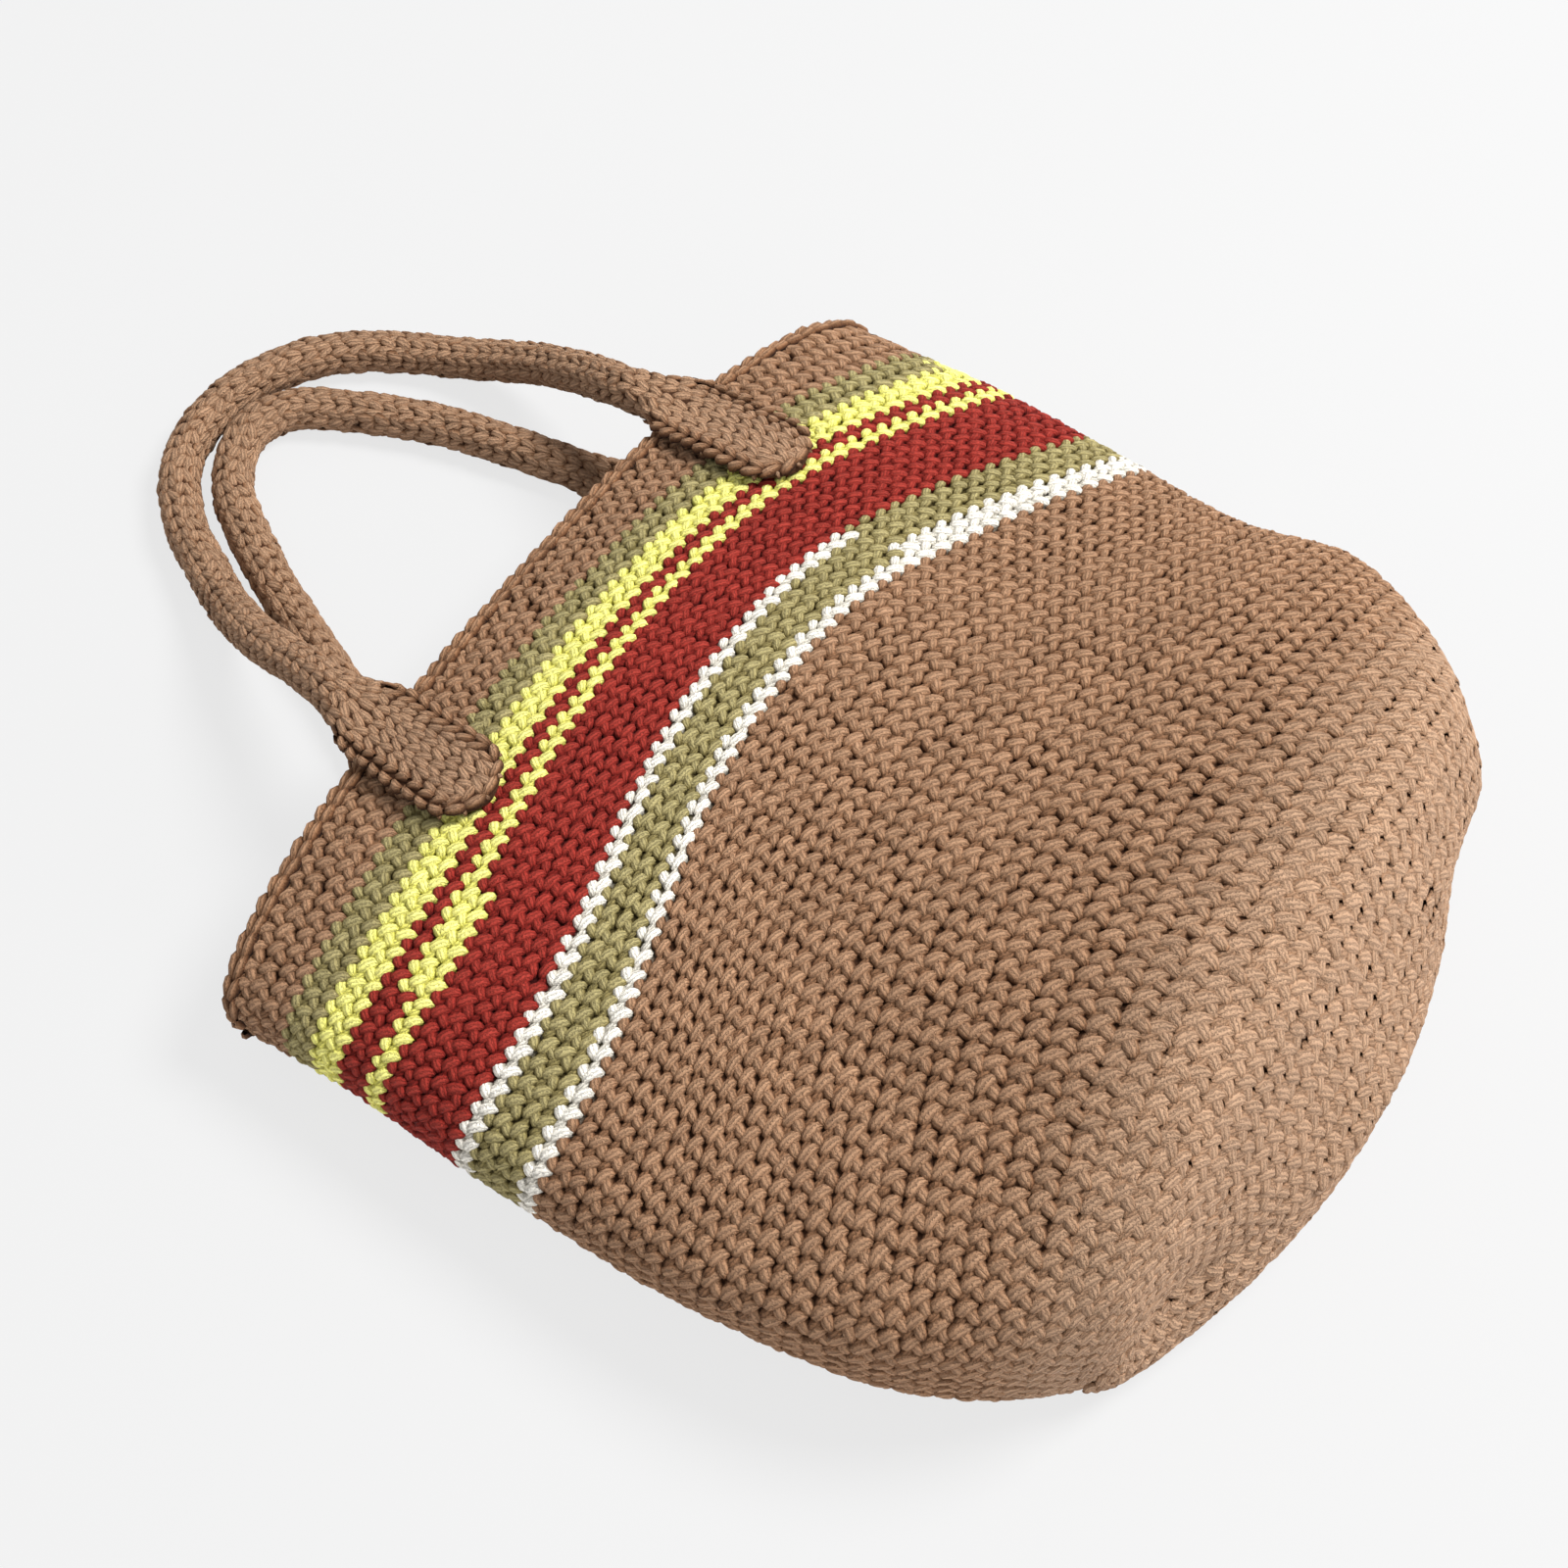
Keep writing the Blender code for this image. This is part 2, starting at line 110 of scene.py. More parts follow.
# Place along, place across, reach and depth of each hollow of the front wall
HOLLOWS = ((200, 104, 34, 5), (284, 72, 26, 5), (276, 32, 26, 4), (283, -100, 30, 4))
WALL = 6 * MM
TAB_THICKNESS = 6.5 * MM
CLEARANCE = 0.4 * MM


def ease(share):
    share = np.clip(share, 0, 1)
    return share * share * (3 - 2 * share)


def along(field, at_round):
    """One size of the cross-sections, carried smoothly from each to the next."""
    values = np.array(SECTIONS[field], float)
    steps = np.diff(ROUNDS)
    rises = np.diff(values) / steps
    middle = (rises[:-1] * steps[1:] + rises[1:] * steps[:-1]) / (steps[:-1] + steps[1:])
    slopes = np.concatenate((rises[:1], middle, rises[-1:]))
    at = np.clip(np.searchsorted(ROUNDS, at_round, side="right") - 1, 0, len(steps) - 1)
    t = (at_round - ROUNDS[at]) / steps[at]
    smooth = (2 * t**3 - 3 * t**2 + 1) * values[at] + (t**3 - 2 * t**2 + t) * steps[at] * slopes[at]
    smooth += (3 * t**2 - 2 * t**3) * values[at + 1] + (t**3 - t**2) * steps[at] * slopes[at + 1]
    return np.where(at_round <= 0, values[0] + slopes[0] * at_round, smooth)


print("top of the bag at rounds 0, 19, 40, 57:", along("top", np.array((0, 19, 40, 57))).round(1))


# %% Front wall and back wall
def sides(at_round, turn):
    """Place across and place along of the side line at each turn."""
    cosine = np.cos(np.radians(turn))
    share = np.sign(cosine) * np.abs(cosine) ** (2 / SIDE_FULLNESS)
    mix = (1 + share) / 2
    width = np.where(share > 0, along("right", at_round), along("left", at_round)) * MM
    x_side = (along("at_left", at_round) * (1 - mix) + along("at_right", at_round) * mix) * MM
    return width * share, x_side


def front_point(at_round, turn):
    sine = np.maximum(np.sin(np.radians(turn)), 0)
    side = along("side", at_round) * MM
    y, x_side = sides(at_round, turn)
    x = x_side + (along("at_top", at_round) * MM - x_side) * sine ** along("sweep", at_round)
    y = y + along("lean", at_round) * MM * sine
    z = side + (along("top", at_round) * MM - side) * sine ** (2 / along("full", at_round))
    for place, across, reach, depth in HOLLOWS:
        away = ((x - place * MM) ** 2 + (y - across * MM) ** 2) / (reach * MM) ** 2
        z = z - depth * MM * np.exp(-away) * sine
    return np.stack((x, y, z), axis=-1)


def back_point(at_round, turn):
    sine = np.maximum(-np.sin(np.radians(turn)), 0)
    side = along("side", at_round) * MM
    lift = (TAB_THICKNESS + 2 * CLEARANCE) * (1 - ease((at_round - LIFTED_TO) / LIFT_FADES))
    drop = np.minimum(sine / FLAT_FROM, 1) ** 0.8
    y, x_side = sides(at_round, turn)
    x_back = BACK_MOUTH + (BACK_BASE - BACK_MOUTH) * at_round / BASE_EDGE
    x = x_side + (x_back - x_side) * sine**1.5
    return np.stack((x, y, lift + (side - lift) * (1 - drop)), axis=-1)


print("front of the mouth:", front_point(0.0, 90.0).round(3))
print("back of the base:", back_point(49.0, 270.0).round(3))

# %% [markdown]
# ## The folded base
#
# The round base doesn't stand out stiffly. Its upper half hangs down from the front wall, its
# lower half bulges up from the floor, and the two meet in a crease with a short fold behind it.

# %% Base and fold
STEP_ROUND = 0.3
STEP_TURN = 2


def upper_turn(turn):
    """The turn itself on the upper half, and the one above it on the lower half."""
    return np.where(turn > 180, 360 - turn, turn)


def clear_of_ends(sine):
    """Grows from 0 at the two ends of the crease to 1 a little way in."""
    return np.minimum(sine * 4, 1)


def unit(vectors):
    return vectors / np.maximum(np.linalg.norm(vectors, axis=-1, keepdims=True), 1e-9)


def crease_outward(turn):
    away = front_point(CREASE, turn) - np.array((BASE_MIDDLE, 0, 0))
    return unit(away * np.array((1, BASE_FLATNESS, 0)))


def drop_gap(point, sine):
    """The lower face of the fold lies a little under the upper one."""
    point = point.copy()
    point[..., 2] -= FOLD_GAP * clear_of_ends(sine)
    return point


def lower_base_point(at_round, turn):
    sine = np.maximum(-np.sin(np.radians(turn)), 0)
    rise = ((at_round - BASE_EDGE) / (CREASE - BASE_EDGE))[..., None]
    climb = rise[..., 0] ** 1.25
    start = back_point(BASE_EDGE, turn)
    end = drop_gap(front_point(CREASE, 360 - turn), sine)
    bulge = BASE_BULGE * sine[..., None] ** 0.7 * np.sin(np.pi * rise**0.7)
    point = start + (end - start) * rise + crease_outward(360 - turn) * bulge
    point[..., 2] = start[..., 2] + (end - start)[..., 2] * climb
    side_turn = np.where(turn < 270, 180.0, 0.0)
    low = front_point(BASE_EDGE, side_turn)
    high = front_point(CREASE, side_turn)
    line = low + (high - low) * rise
    line[..., 2] = low[..., 2] + (high - low)[..., 2] * climb
    return point + (front_point(at_round, side_turn) - line) * ((1 - sine) ** 3)[..., None]


def fold_point(at_round, turn):
    inward = ((at_round - CREASE) / (FOLD_END - CREASE))[..., None]
    upper = upper_turn(turn)
    sine = np.sin(np.radians(upper))
    point = front_point(CREASE, upper)
    point = point - crease_outward(upper) * FOLD_DEPTH * np.abs(sine)[..., None] ** 0.8 * inward
    return np.where((turn > 180)[..., None], drop_gap(point, sine), point)


def fold_cover_point(inward, turn):
    """Inner side of the fabric where it passes round the fold."""
    upper = upper_turn(turn)
    sine = np.sin(np.radians(upper))
    point = fold_point(np.full_like(turn, CREASE + (FOLD_END - CREASE) * inward), turn)
    point = point - crease_outward(upper) * WALL * (1 + 0.6 * inward)
    point[..., 2] += np.sign(180 - turn) * WALL * clear_of_ends(sine)
    return point


def fabric_point(at_round, turn):
    """Outer side of the fabric at any rounds and turns."""
    at_round, turn = np.broadcast_arrays(np.asarray(at_round, float), np.asarray(turn, float) % 360)
    front = front_point(np.minimum(at_round, CREASE), upper_turn(turn))
    back = back_point(np.minimum(at_round, BASE_EDGE), turn)
    base = lower_base_point(np.clip(at_round, BASE_EDGE, CREASE), turn)
    fold = fold_point(np.maximum(at_round, CREASE), turn)
    below = np.where((at_round > BASE_EDGE)[..., None], base, back)
    point = np.where((turn <= 180)[..., None], front, below)
    return np.where((at_round > CREASE)[..., None], fold, point)


def fabric_outward(at_round, turn):
    """Direction straight out of the fabric."""
    low = np.minimum(at_round - STEP_ROUND, CREASE - STEP_ROUND)
    high = np.minimum(at_round + STEP_ROUND, CREASE)
    return unit(np.cross(
        fabric_point(at_round, turn + STEP_TURN) - fabric_point(at_round, turn - STEP_TURN),
        fabric_point(high, turn) - fabric_point(low, turn),
    ))


four_sides = fabric_outward(30.0, np.array((0.0, 90, 180, 270)))
print("outward at the right, front, left and back:", *four_sides.round(2))

# %% [markdown]
# ## The yarn and its colours
#
# The maker changed yarn at places that don't fall on full rounds, because the work is a spiral.
# So a stripe can be two rows deep on one side and three on the other. The list below holds the
# places along the spiral, in rounds from the mouth. The part after the point is how far round the
# bag the change lies, counted from the middle of the back over the left side.

# %% Yarn colours and where they change
YARNS = {
    "brown": (0.357, 0.208, 0.121),
    "olive": (0.36, 0.305, 0.14),
    "yellow": (0.90, 0.86, 0.26),
    "red": (0.31, 0.034, 0.023),
    "cream": (0.87, 0.83, 0.74),
}
COLOUR_CHANGES = (
    (3.8, "brown"), (5.7, "olive"), (8.0, "yellow"), (9.34, "red"), (10.39, "yellow"),
    (15.95, "red"), (16.55, "cream"), (19.55, "olive"), (20.95, "cream"), (99.0, "brown"),
)
SPIRAL_START = -0.3


def spiral_lay(share):
    """How far the spiral has risen: it climbs along the back wall and runs level in front."""
    return np.interp(share, (0, 0.25, 0.75, 1), (0, 0.5, 0.5, 1))


def strip_round(strip, share):
    """Round at which the middle of a strip of the spiral lies."""
    return strip + 0.5 + spiral_lay(share) + SPIRAL_START


def turn_of(share):
    return 270 - 360 * share


def yarn_at(place):
    """Yarn colour at places along the spiral, as rows of four numbers."""
    ends = np.array([end for end, _ in COLOUR_CHANGES])
    colours = np.array([(*YARNS[name], 1.0) for _, name in COLOUR_CHANGES])
    return colours[np.searchsorted(ends, place, side="right")]


print("yarn changes:", len(COLOUR_CHANGES) - 1, "between", len(YARNS), "yarns")

# %% [markdown]
# ## Node trees as Python
#
# Shader maths is far easier to read as an expression than as a row of nodes. The class below
# wraps an output socket, so that plus, minus and times add Math nodes. One method adds any other
# node, with its settings first and then the values or wires of its inputs. It serves shader trees
# and geometry trees alike.

# %% Wires and trees
class Wire:
    """One output of a node, usable in an expression."""

    def __init__(self, tree, node, output=0):
        self.tree = tree
        self.node = node
        self.socket = node.outputs[output] if len(node.outputs) else None

    def __getitem__(self, output):
        return Wire(self.tree, self.node, output)

    def math(self, operation, *others):
        inputs = dict(enumerate((self, *others)))
        return self.tree.node("ShaderNodeMath", {"operation": operation}, inputs)

    def __add__(self, other):
        return self.math("ADD", other)

    def __mul__(self, other):
        return self.math("MULTIPLY", other)

    def __sub__(self, other):
        return self.math("SUBTRACT", other)

    def __rsub__(self, other):
        return self.tree.node("ShaderNodeMath", {"operation": "SUBTRACT"}, {0: other, 1: self})

    __radd__ = __add__
    __rmul__ = __mul__


class Tree:
    """A shader or geometry node tree that is filled by calls."""

    def __init__(self, tree):
        self.tree = tree

    def node(self, kind, settings=None, inputs=None, output=0):
        node = self.tree.nodes.new(kind)
        for name, value in (settings or {}).items():
            setattr(node, name, value)
        for name, value in (inputs or {}).items():
            if isinstance(value, Wire):
                self.tree.links.new(value.socket, node.inputs[name])
            else:
                node.inputs[name].default_value = value
        return Wire(self, node, output)


print("node trees are written as expressions")

# %% [markdown]
# ## One stitch
#
# Up close a stitch of this bag has two parts. A fat wing of yarn lies slanting across the row,
# and a smaller drop hangs from under its middle to the next wing. The drop is the head of the
# stitch that is worked into this one a round later, so it has that stitch's yarn: this is what
# gives the stripes their jagged edges. A low loop fills the gap beside them. Both parts are
# modelled once, in a stitch's own units: x counts rows towards the base, y counts stitches along
# the row and z is the yarn's height. Each loop is a small grid, domed across its width, with a UV
# that runs along the yarn for the plies to follow. A few dozen faces have to be enough for
# something sewn six thousand times.

# %% Loops of yarn as small grids
YARN_LOW = -0.55
YARN_HEIGHT = 1.9 * MM


def domed(share):
    """Height of a loop of yarn across its width, flat on top and steep at both sides."""
    return (1 - abs(share) ** 2.5) ** 0.55


def strand(middle, half_widths, heights, across=(-1, -0.68, 0, 0.68, 1)):
    """Vertices (rows, columns, 3) and UVs of a strand that follows a line, seen from above."""
    middle = np.array(middle, float)
    ahead = np.gradient(middle, axis=0)
    aside = np.stack((ahead[:, 1], -ahead[:, 0]), axis=-1)
    aside /= np.linalg.norm(aside, axis=-1, keepdims=True)
    points = np.zeros((len(middle), len(across), 3))
    uv = np.zeros((len(middle), len(across), 2))
    for row, (half, height) in enumerate(zip(half_widths, heights)):
        for column, share in enumerate(across):
            points[row, column, :2] = middle[row] + aside[row] * half * share
            points[row, column, 2] = YARN_LOW + (height - YARN_LOW) * domed(share)
            uv[row, column] = (share, row / (len(middle) - 1))
    return points, uv


def both_ways(middle, half_widths, heights):
    """A strand and its mirror image, which make a V."""
    for side in (-1, 1):
        yield strand([(side * x, y) for x, y in middle], half_widths, heights)


def store(mesh, label, kind, values):
    """Give each vertex of a mesh a number, a vector or a colour."""
    field = {"FLOAT": "value", "FLOAT_VECTOR": "vector", "FLOAT_COLOR": "color"}[kind]
    values = np.asarray(values, np.float32).ravel()
    mesh.attributes.new(label, kind, "POINT").data.foreach_set(field, values)


def store_uv(mesh, corners):
    corners = np.array(corners, np.float32).ravel()
    mesh.uv_layers.new(name="yarn").data.foreach_set("uv", corners)


def triangles(mesh):
    return sum(len(face.vertices) - 2 for face in mesh.polygons)


def grid_faces(rows, columns):
    return [
        (a, a + 1, a + columns + 1, a + columns)
        for row in range(rows - 1) for a in range(row * columns, (row + 1) * columns - 1)
    ]


def yarn_shape(name, strands):
    """One smooth shape from several strands. Its points know how deep in the fabric they lie."""
    vertices, faces, corners = [], [], []
    for points, uv in strands:
        start = len(vertices)
        vertices += points.reshape(-1, 3).tolist()
        flat_uv = uv.reshape(-1, 2)
        for face in grid_faces(*points.shape[:2]):
            faces.append([start + corner for corner in face])
            corners += [flat_uv[corner] for corner in face]
    mesh = bpy.data.meshes.new(name)
    mesh.from_pydata(vertices, [], faces)
    store_uv(mesh, corners)
    depth = (1 - np.array(vertices)[:, 2]) / (1 - YARN_LOW)
    store(mesh, "depth", "FLOAT", np.clip(depth, 0, 1))
    mesh.shade_smooth()
    return bpy.data.objects.new(name, mesh)


wing = yarn_shape("wing", [
    strand(
        middle=(
            (-0.44, -0.42), (-0.32, -0.27), (-0.12, -0.03),
            (0.09, 0.16), (0.30, 0.27), (0.50, 0.29),
        ),
        half_widths=(0.22, 0.37, 0.42, 0.39, 0.29, 0.09),
        heights=(0.2, 0.85, 1.0, 1.0, 0.9, 0.35),
    ),
    strand(
        middle=((-0.46, -0.92), (-0.30, -0.74), (-0.12, -0.54), (0.06, -0.34)),
        half_widths=(0.18, 0.31, 0.32, 0.18),
        heights=(-0.1, 0.4, 0.45, 0.3),
        across=(-1, -0.45, 0.45, 1),
    ),
])
drop = yarn_shape("drop", [
    strand(
        middle=((0.06, 0.02), (0.20, -0.14), (0.35, -0.33), (0.49, -0.50), (0.60, -0.68)),
        half_widths=(0.24, 0.35, 0.37, 0.31, 0.14),
        heights=(0.3, 0.85, 0.95, 0.8, 0.0),
    ),
])
print("a stitch has", triangles(wing.data) + triangles(drop.data), "triangles")

# %% [markdown]
# ## A tree that sews a shape on points
#
# The places of the stitches are points that carry what a stitch needs to know: the way out of the
# fabric, the way to the base, its size there and its yarn. A geometry tree sets the shape on each
# point, turned and sized at random by a little, because no hand makes two stitches alike. It also
# keeps everything above the floor, which flattens the stitches that the bag lies on.

# %% The sewing tree
def sewing_tree():
    group = bpy.data.node_groups.new("sew_on_points", "GeometryNodeTree")
    for name, kind in (
        ("Geometry", "Geometry"), ("Shape", "Object"), ("Turn jitter", "Float"),
        ("Size jitter", "Float"), ("Floor height", "Float"), ("Seed", "Int"), ("Yarn", "Material"),
    ):
        group.interface.new_socket(name=name, in_out="INPUT", socket_type="NodeSocket" + kind)
    kind = "NodeSocketGeometry"
    group.interface.new_socket(name="Geometry", in_out="OUTPUT", socket_type=kind)
    tree = Tree(group)
    given = tree.node("NodeGroupInput")

    def carried(name):
        settings = {"data_type": "FLOAT_VECTOR"}
        return tree.node("GeometryNodeInputNamedAttribute", settings, {"Name": name})

    def chance(seed_step, low, high):
        seed = given["Seed"] + seed_step
        inputs = {2: low, 3: high, "Seed": seed}
        return tree.node("FunctionNodeRandomValue", {"data_type": "FLOAT"}, inputs, output=1)

    def three_chances(first_step, reaches, jitter, middle):
        return tree.node("ShaderNodeCombineXYZ", None, {
            axis: chance(first_step + axis, -reach, reach) * given[jitter] + middle
            for axis, reach in enumerate(reaches)
        })

    turned = tree.node(
        "FunctionNodeAxesToRotation", {"primary_axis": "Z", "secondary_axis": "X"},
        {"Primary Axis": carried("outward"), "Secondary Axis": carried("baseward")},
    )
    lean = three_chances(1, (0.5, 0.5, 1.0), "Turn jitter", 0.0)
    lean = tree.node("FunctionNodeEulerToRotation", None, {0: lean})
    local = {"rotation_space": "LOCAL"}
    turned = tree.node("FunctionNodeRotateRotation", local, {0: turned, 1: lean})
    factor = three_chances(4, (1.0, 1.0, 1.5), "Size jitter", 1.0)
    multiply = {"operation": "MULTIPLY"}
    size = tree.node("ShaderNodeVectorMath", multiply, {0: carried("size"), 1: factor})
    marked = tree.node(
        "GeometryNodeStoreNamedAttribute", {"data_type": "FLOAT", "domain": "POINT"},
        {"Geometry": given["Geometry"], "Name": "chance", "Value": chance(7, 0.0, 1.0)},
    )
    shape = tree.node(
        "GeometryNodeObjectInfo", None, {"Object": given["Shape"]}, output="Geometry",
    )
    sewn = tree.node("GeometryNodeInstanceOnPoints", None, {
        "Points": marked, "Instance": shape, "Rotation": turned, "Scale": size,
    })
    real = tree.node("GeometryNodeRealizeInstances", None, {"Geometry": sewn})
    place = tree.node("ShaderNodeSeparateXYZ", None, {0: tree.node("GeometryNodeInputPosition")})
    height = place["Z"].math("MAXIMUM", given["Floor height"])
    kept = tree.node("ShaderNodeCombineXYZ", None, {0: place["X"], 1: place["Y"], 2: height})
    resting = tree.node("GeometryNodeSetPosition", None, {"Geometry": real, "Position": kept})
    dressing = {"Geometry": resting, "Material": given["Yarn"]}
    dressed = tree.node("GeometryNodeSetMaterial", None, dressing)
    tree.node("NodeGroupOutput", None, {"Geometry": dressed})
    return group


SEWING = sewing_tree()
print("sewing tree has", len(SEWING.nodes), "nodes")


# %% Points in, plain mesh out
TURN_JITTER = 0.18
SIZE_JITTER = 0.09
FLOOR_HEIGHT = 0.0004


def add_piece(name, data):
    piece = bpy.data.objects.new(name, data)
    bpy.context.scene.collection.objects.link(piece)
    return piece


def sewn_piece(name, shape, stitches, seed, turn_jitter=TURN_JITTER):
    """A shape of yarn sewn on every point, as one plain mesh."""
    points, outward, baseward, size, colours = stitches
    mesh = bpy.data.meshes.new(name)
    mesh.from_pydata((points + SHIFT).tolist(), [], [])
    vectors = {"outward": outward, "baseward": baseward, "size": size}
    for label, values in vectors.items():
        store(mesh, label, "FLOAT_VECTOR", values)
    store(mesh, "yarn_colour", "FLOAT_COLOR", colours)
    store(mesh, "relief", "FLOAT", size[:, 2] / YARN_HEIGHT)
    holder = add_piece(name + "_points", mesh)
    modifier = holder.modifiers.new("sewing", "NODES")
    modifier.node_group = SEWING
    values = {
        "Shape": shape, "Yarn": YARN, "Seed": seed, "Turn jitter": turn_jitter,
        "Size jitter": SIZE_JITTER, "Floor height": FLOOR_HEIGHT,
    }
    for item in SEWING.interface.items_tree:
        if item.in_out == "INPUT" and item.name in values:
            modifier[item.identifier] = values[item.name]
    depsgraph = bpy.context.evaluated_depsgraph_get()
    plain = bpy.data.meshes.new_from_object(holder.evaluated_get(depsgraph))
    holder.modifiers.remove(modifier)
    bpy.data.objects.remove(holder)
    for label in vectors:
        if label in plain.attributes:
            plain.attributes.remove(plain.attributes[label])
    plain.name = name
    print(name, "has", len(points), "stitches and", triangles(plain), "triangles")
    return add_piece(name, plain)


print("chance turns a stitch by up to", TURN_JITTER, "and sizes it by", SIZE_JITTER)

# %% [markdown]
# ## Yarn materials
#
# The yarn is matt cotton of several plies. The plies show as fine lines that follow each loop, so
# they come from the loop's UV: a wave across the yarn that leans along it, made uneven by noise.
# The wave bumps the yarn and is also painted into its colour, as painted highlight on the ridges
# and painted shade in the grooves.
# Each stitch is a little lighter or darker than its neighbour, and the same noise gives the bloom
# of the fibres. Towards the foot of a loop the colour is painted darker and richer, as painted
# shade where less light gets in between the stitches. The flatter stitches of the base get less of
# that painted shade and are painted paler, as painted brighter light. The fabric behind the
# stitches only shows in the gaps, and its colour is painted much darker, as painted shade in the
# gaps.

# %% Yarn finish
def new_material(name):
    """A material, and its node tree with no nodes yet."""
    material = bpy.data.materials.new(name)
    material.use_nodes = True
    material.node_tree.nodes.clear()
    return material, Tree(material.node_tree)


def carried(tree, name, output="Fac"):
    return tree.node("ShaderNodeAttribute", {"attribute_name": name}, output=output)


def yarn_uv(tree):
    uv = tree.node("ShaderNodeUVMap", {"uv_map": "yarn"})
    return tree.node("ShaderNodeSeparateXYZ", None, {0: uv})


def noise(tree, scale, roughness=0.5):
    place = tree.node("ShaderNodeTexCoord", output="Object")
    inputs = {"Vector": place, "Scale": scale, "Detail": 2.0, "Roughness": roughness}
    return tree.node("ShaderNodeTexNoise", None, inputs, output="Fac")


def wave(turns):
    """Goes from 0 to 1 and back in every turn."""
    return (turns * (2 * math.pi)).math("SINE") * 0.5 + 0.5


def finish_cotton(tree, light, height, bump_reach, richness=1.0):
    """Matt cotton with a bump, its yarn colour made richer and scaled by painted light and shade.
    """
    colour = carried(tree, "yarn_colour", "Color")
    rich = tree.node("ShaderNodeGamma", None, {"Color": colour, "Gamma": richness})
    scale = {"operation": "SCALE"}
    scaled = tree.node("ShaderNodeVectorMath", scale, {0: rich, "Scale": light})
    bumps = {"Strength": 0.9, "Distance": bump_reach, "Height": height}
    shader = tree.node("ShaderNodeBsdfPrincipled", None, {
        "Base Color": scaled, "Roughness": 0.92, "Specular IOR Level": 0.25,
        "Normal": tree.node("ShaderNodeBump", None, bumps),
    })
    tree.node("ShaderNodeOutputMaterial", None, {"Surface": shader})


FIBRE_SCALE = 1100.0
FIBRE_ROUGHNESS = 0.7
WEAR_SCALE = 14.0
PLIES_ACROSS = 1.6
PLIES_ALONG = 0.7
PLIES_ASTRAY = 1.7
PLY_LIGHT = 0.28
FIBRE_LIGHT = 1.1
CHANCE_LIGHT = 0.18
WEAR_LIGHT = 0.2
LEAST_LIGHT = 0.22
DEEP_SHADE = 0.85
# Painted shade of the fabric in the gaps: its yarn colour made darker and richer
BEHIND_SHADE = 0.35
PAINTED_SHADE_RICHNESS = 1.8
YARN_BUMP = 0.8 * MM
INNER_BUMP = 2 * MM


def stitch_material():
    """Yarn with plies, painted darker and richer towards the foot of a loop as painted shade."""
    material, tree = new_material("cotton_yarn_stitches")
    fibre, wear = noise(tree, FIBRE_SCALE, FIBRE_ROUGHNESS), noise(tree, WEAR_SCALE)
    chance, depth, relief = (carried(tree, name) for name in ("chance", "depth", "relief"))
    uv = yarn_uv(tree)
    turns = uv["X"] * PLIES_ACROSS + uv["Y"] * PLIES_ALONG + fibre * PLIES_ASTRAY + chance
    # Painted highlight and shade of the plies: lighter ridges and darker grooves, besides the bump
    plies = wave(turns).math("POWER", 0.4)
    # Painted shade: darker towards the foot of each loop, and less of it on the flatter stitches
    deep = depth.math("POWER", 1.5) * relief
    light = plies * PLY_LIGHT + fibre * FIBRE_LIGHT + chance * CHANCE_LIGHT + wear * WEAR_LIGHT
    light = (light + LEAST_LIGHT) * (1 - deep * DEEP_SHADE) * (relief * 0.2 + 0.8)
    # Painted shade and light in the richness too: deep parts richer, flatter base stitches paler
    richness = deep + relief * 0.25 + 0.75
    finish_cotton(tree, light, plies * 0.8 + fibre * 0.6, YARN_BUMP, richness)
    return material


def painted_shade_material():
    """Plain yarn for the gaps between the stitches, painted dark as painted shade."""
    material, tree = new_material("cotton_yarn_painted_shade")
    fibre = noise(tree, FIBRE_SCALE, FIBRE_ROUGHNESS)
    light = (fibre * 0.3 + 0.8) * BEHIND_SHADE
    finish_cotton(tree, light, fibre, YARN_BUMP, PAINTED_SHADE_RICHNESS)
    return material


YARN = stitch_material()
PAINTED_SHADE_YARN = painted_shade_material()
print("materials:", [material.name for material in bpy.data.materials])


# %% Inner side finish
def inner_material():
    """Inner side of the fabric: rounds of slanted stitches, worked out from its UV, with painted
    shade.
    """
    material, tree = new_material("cotton_yarn_inside")
    uv = yarn_uv(tree)
    row = uv["Y"].math("FRACT")
    slant = (row - 0.5).math("ABSOLUTE")
    ridge = (row * math.pi).math("SINE").math("POWER", 0.6)
    stroke = wave(uv["X"] + slant * 0.7).math("POWER", 0.5)
    height = ridge * (stroke * 0.7 + 0.3)
    fibre = noise(tree, 700.0)
    # Painted shade and light: darker in the valleys between the drawn stitches, lighter on ridges
    light = height * 0.75 + fibre * 0.15 + 0.15
    finish_cotton(tree, light, height + fibre * 0.1, INNER_BUMP)
    return material


INSIDE = inner_material()
print("inner side drawn from rounds and shares")

# %% [markdown]
# ## The fabric behind the stitches
#
# The stitches need something to sit on, and the gaps between them something dark to show: the
# outer skin is painted dark, as painted shade in the gaps. That is a closed shell: an outer skin
# just under the stitches, a lip at the mouth, and an inner side six millimetres further in. Rings
# of points run round the bag from the mouth to the fold, and back along the inside.

# %% Shell of rings
COLUMNS = 132
STITCHES_ROUND = 108
SKIN_DEPTH = 0.9 * MM
LIP = 1.5 * MM


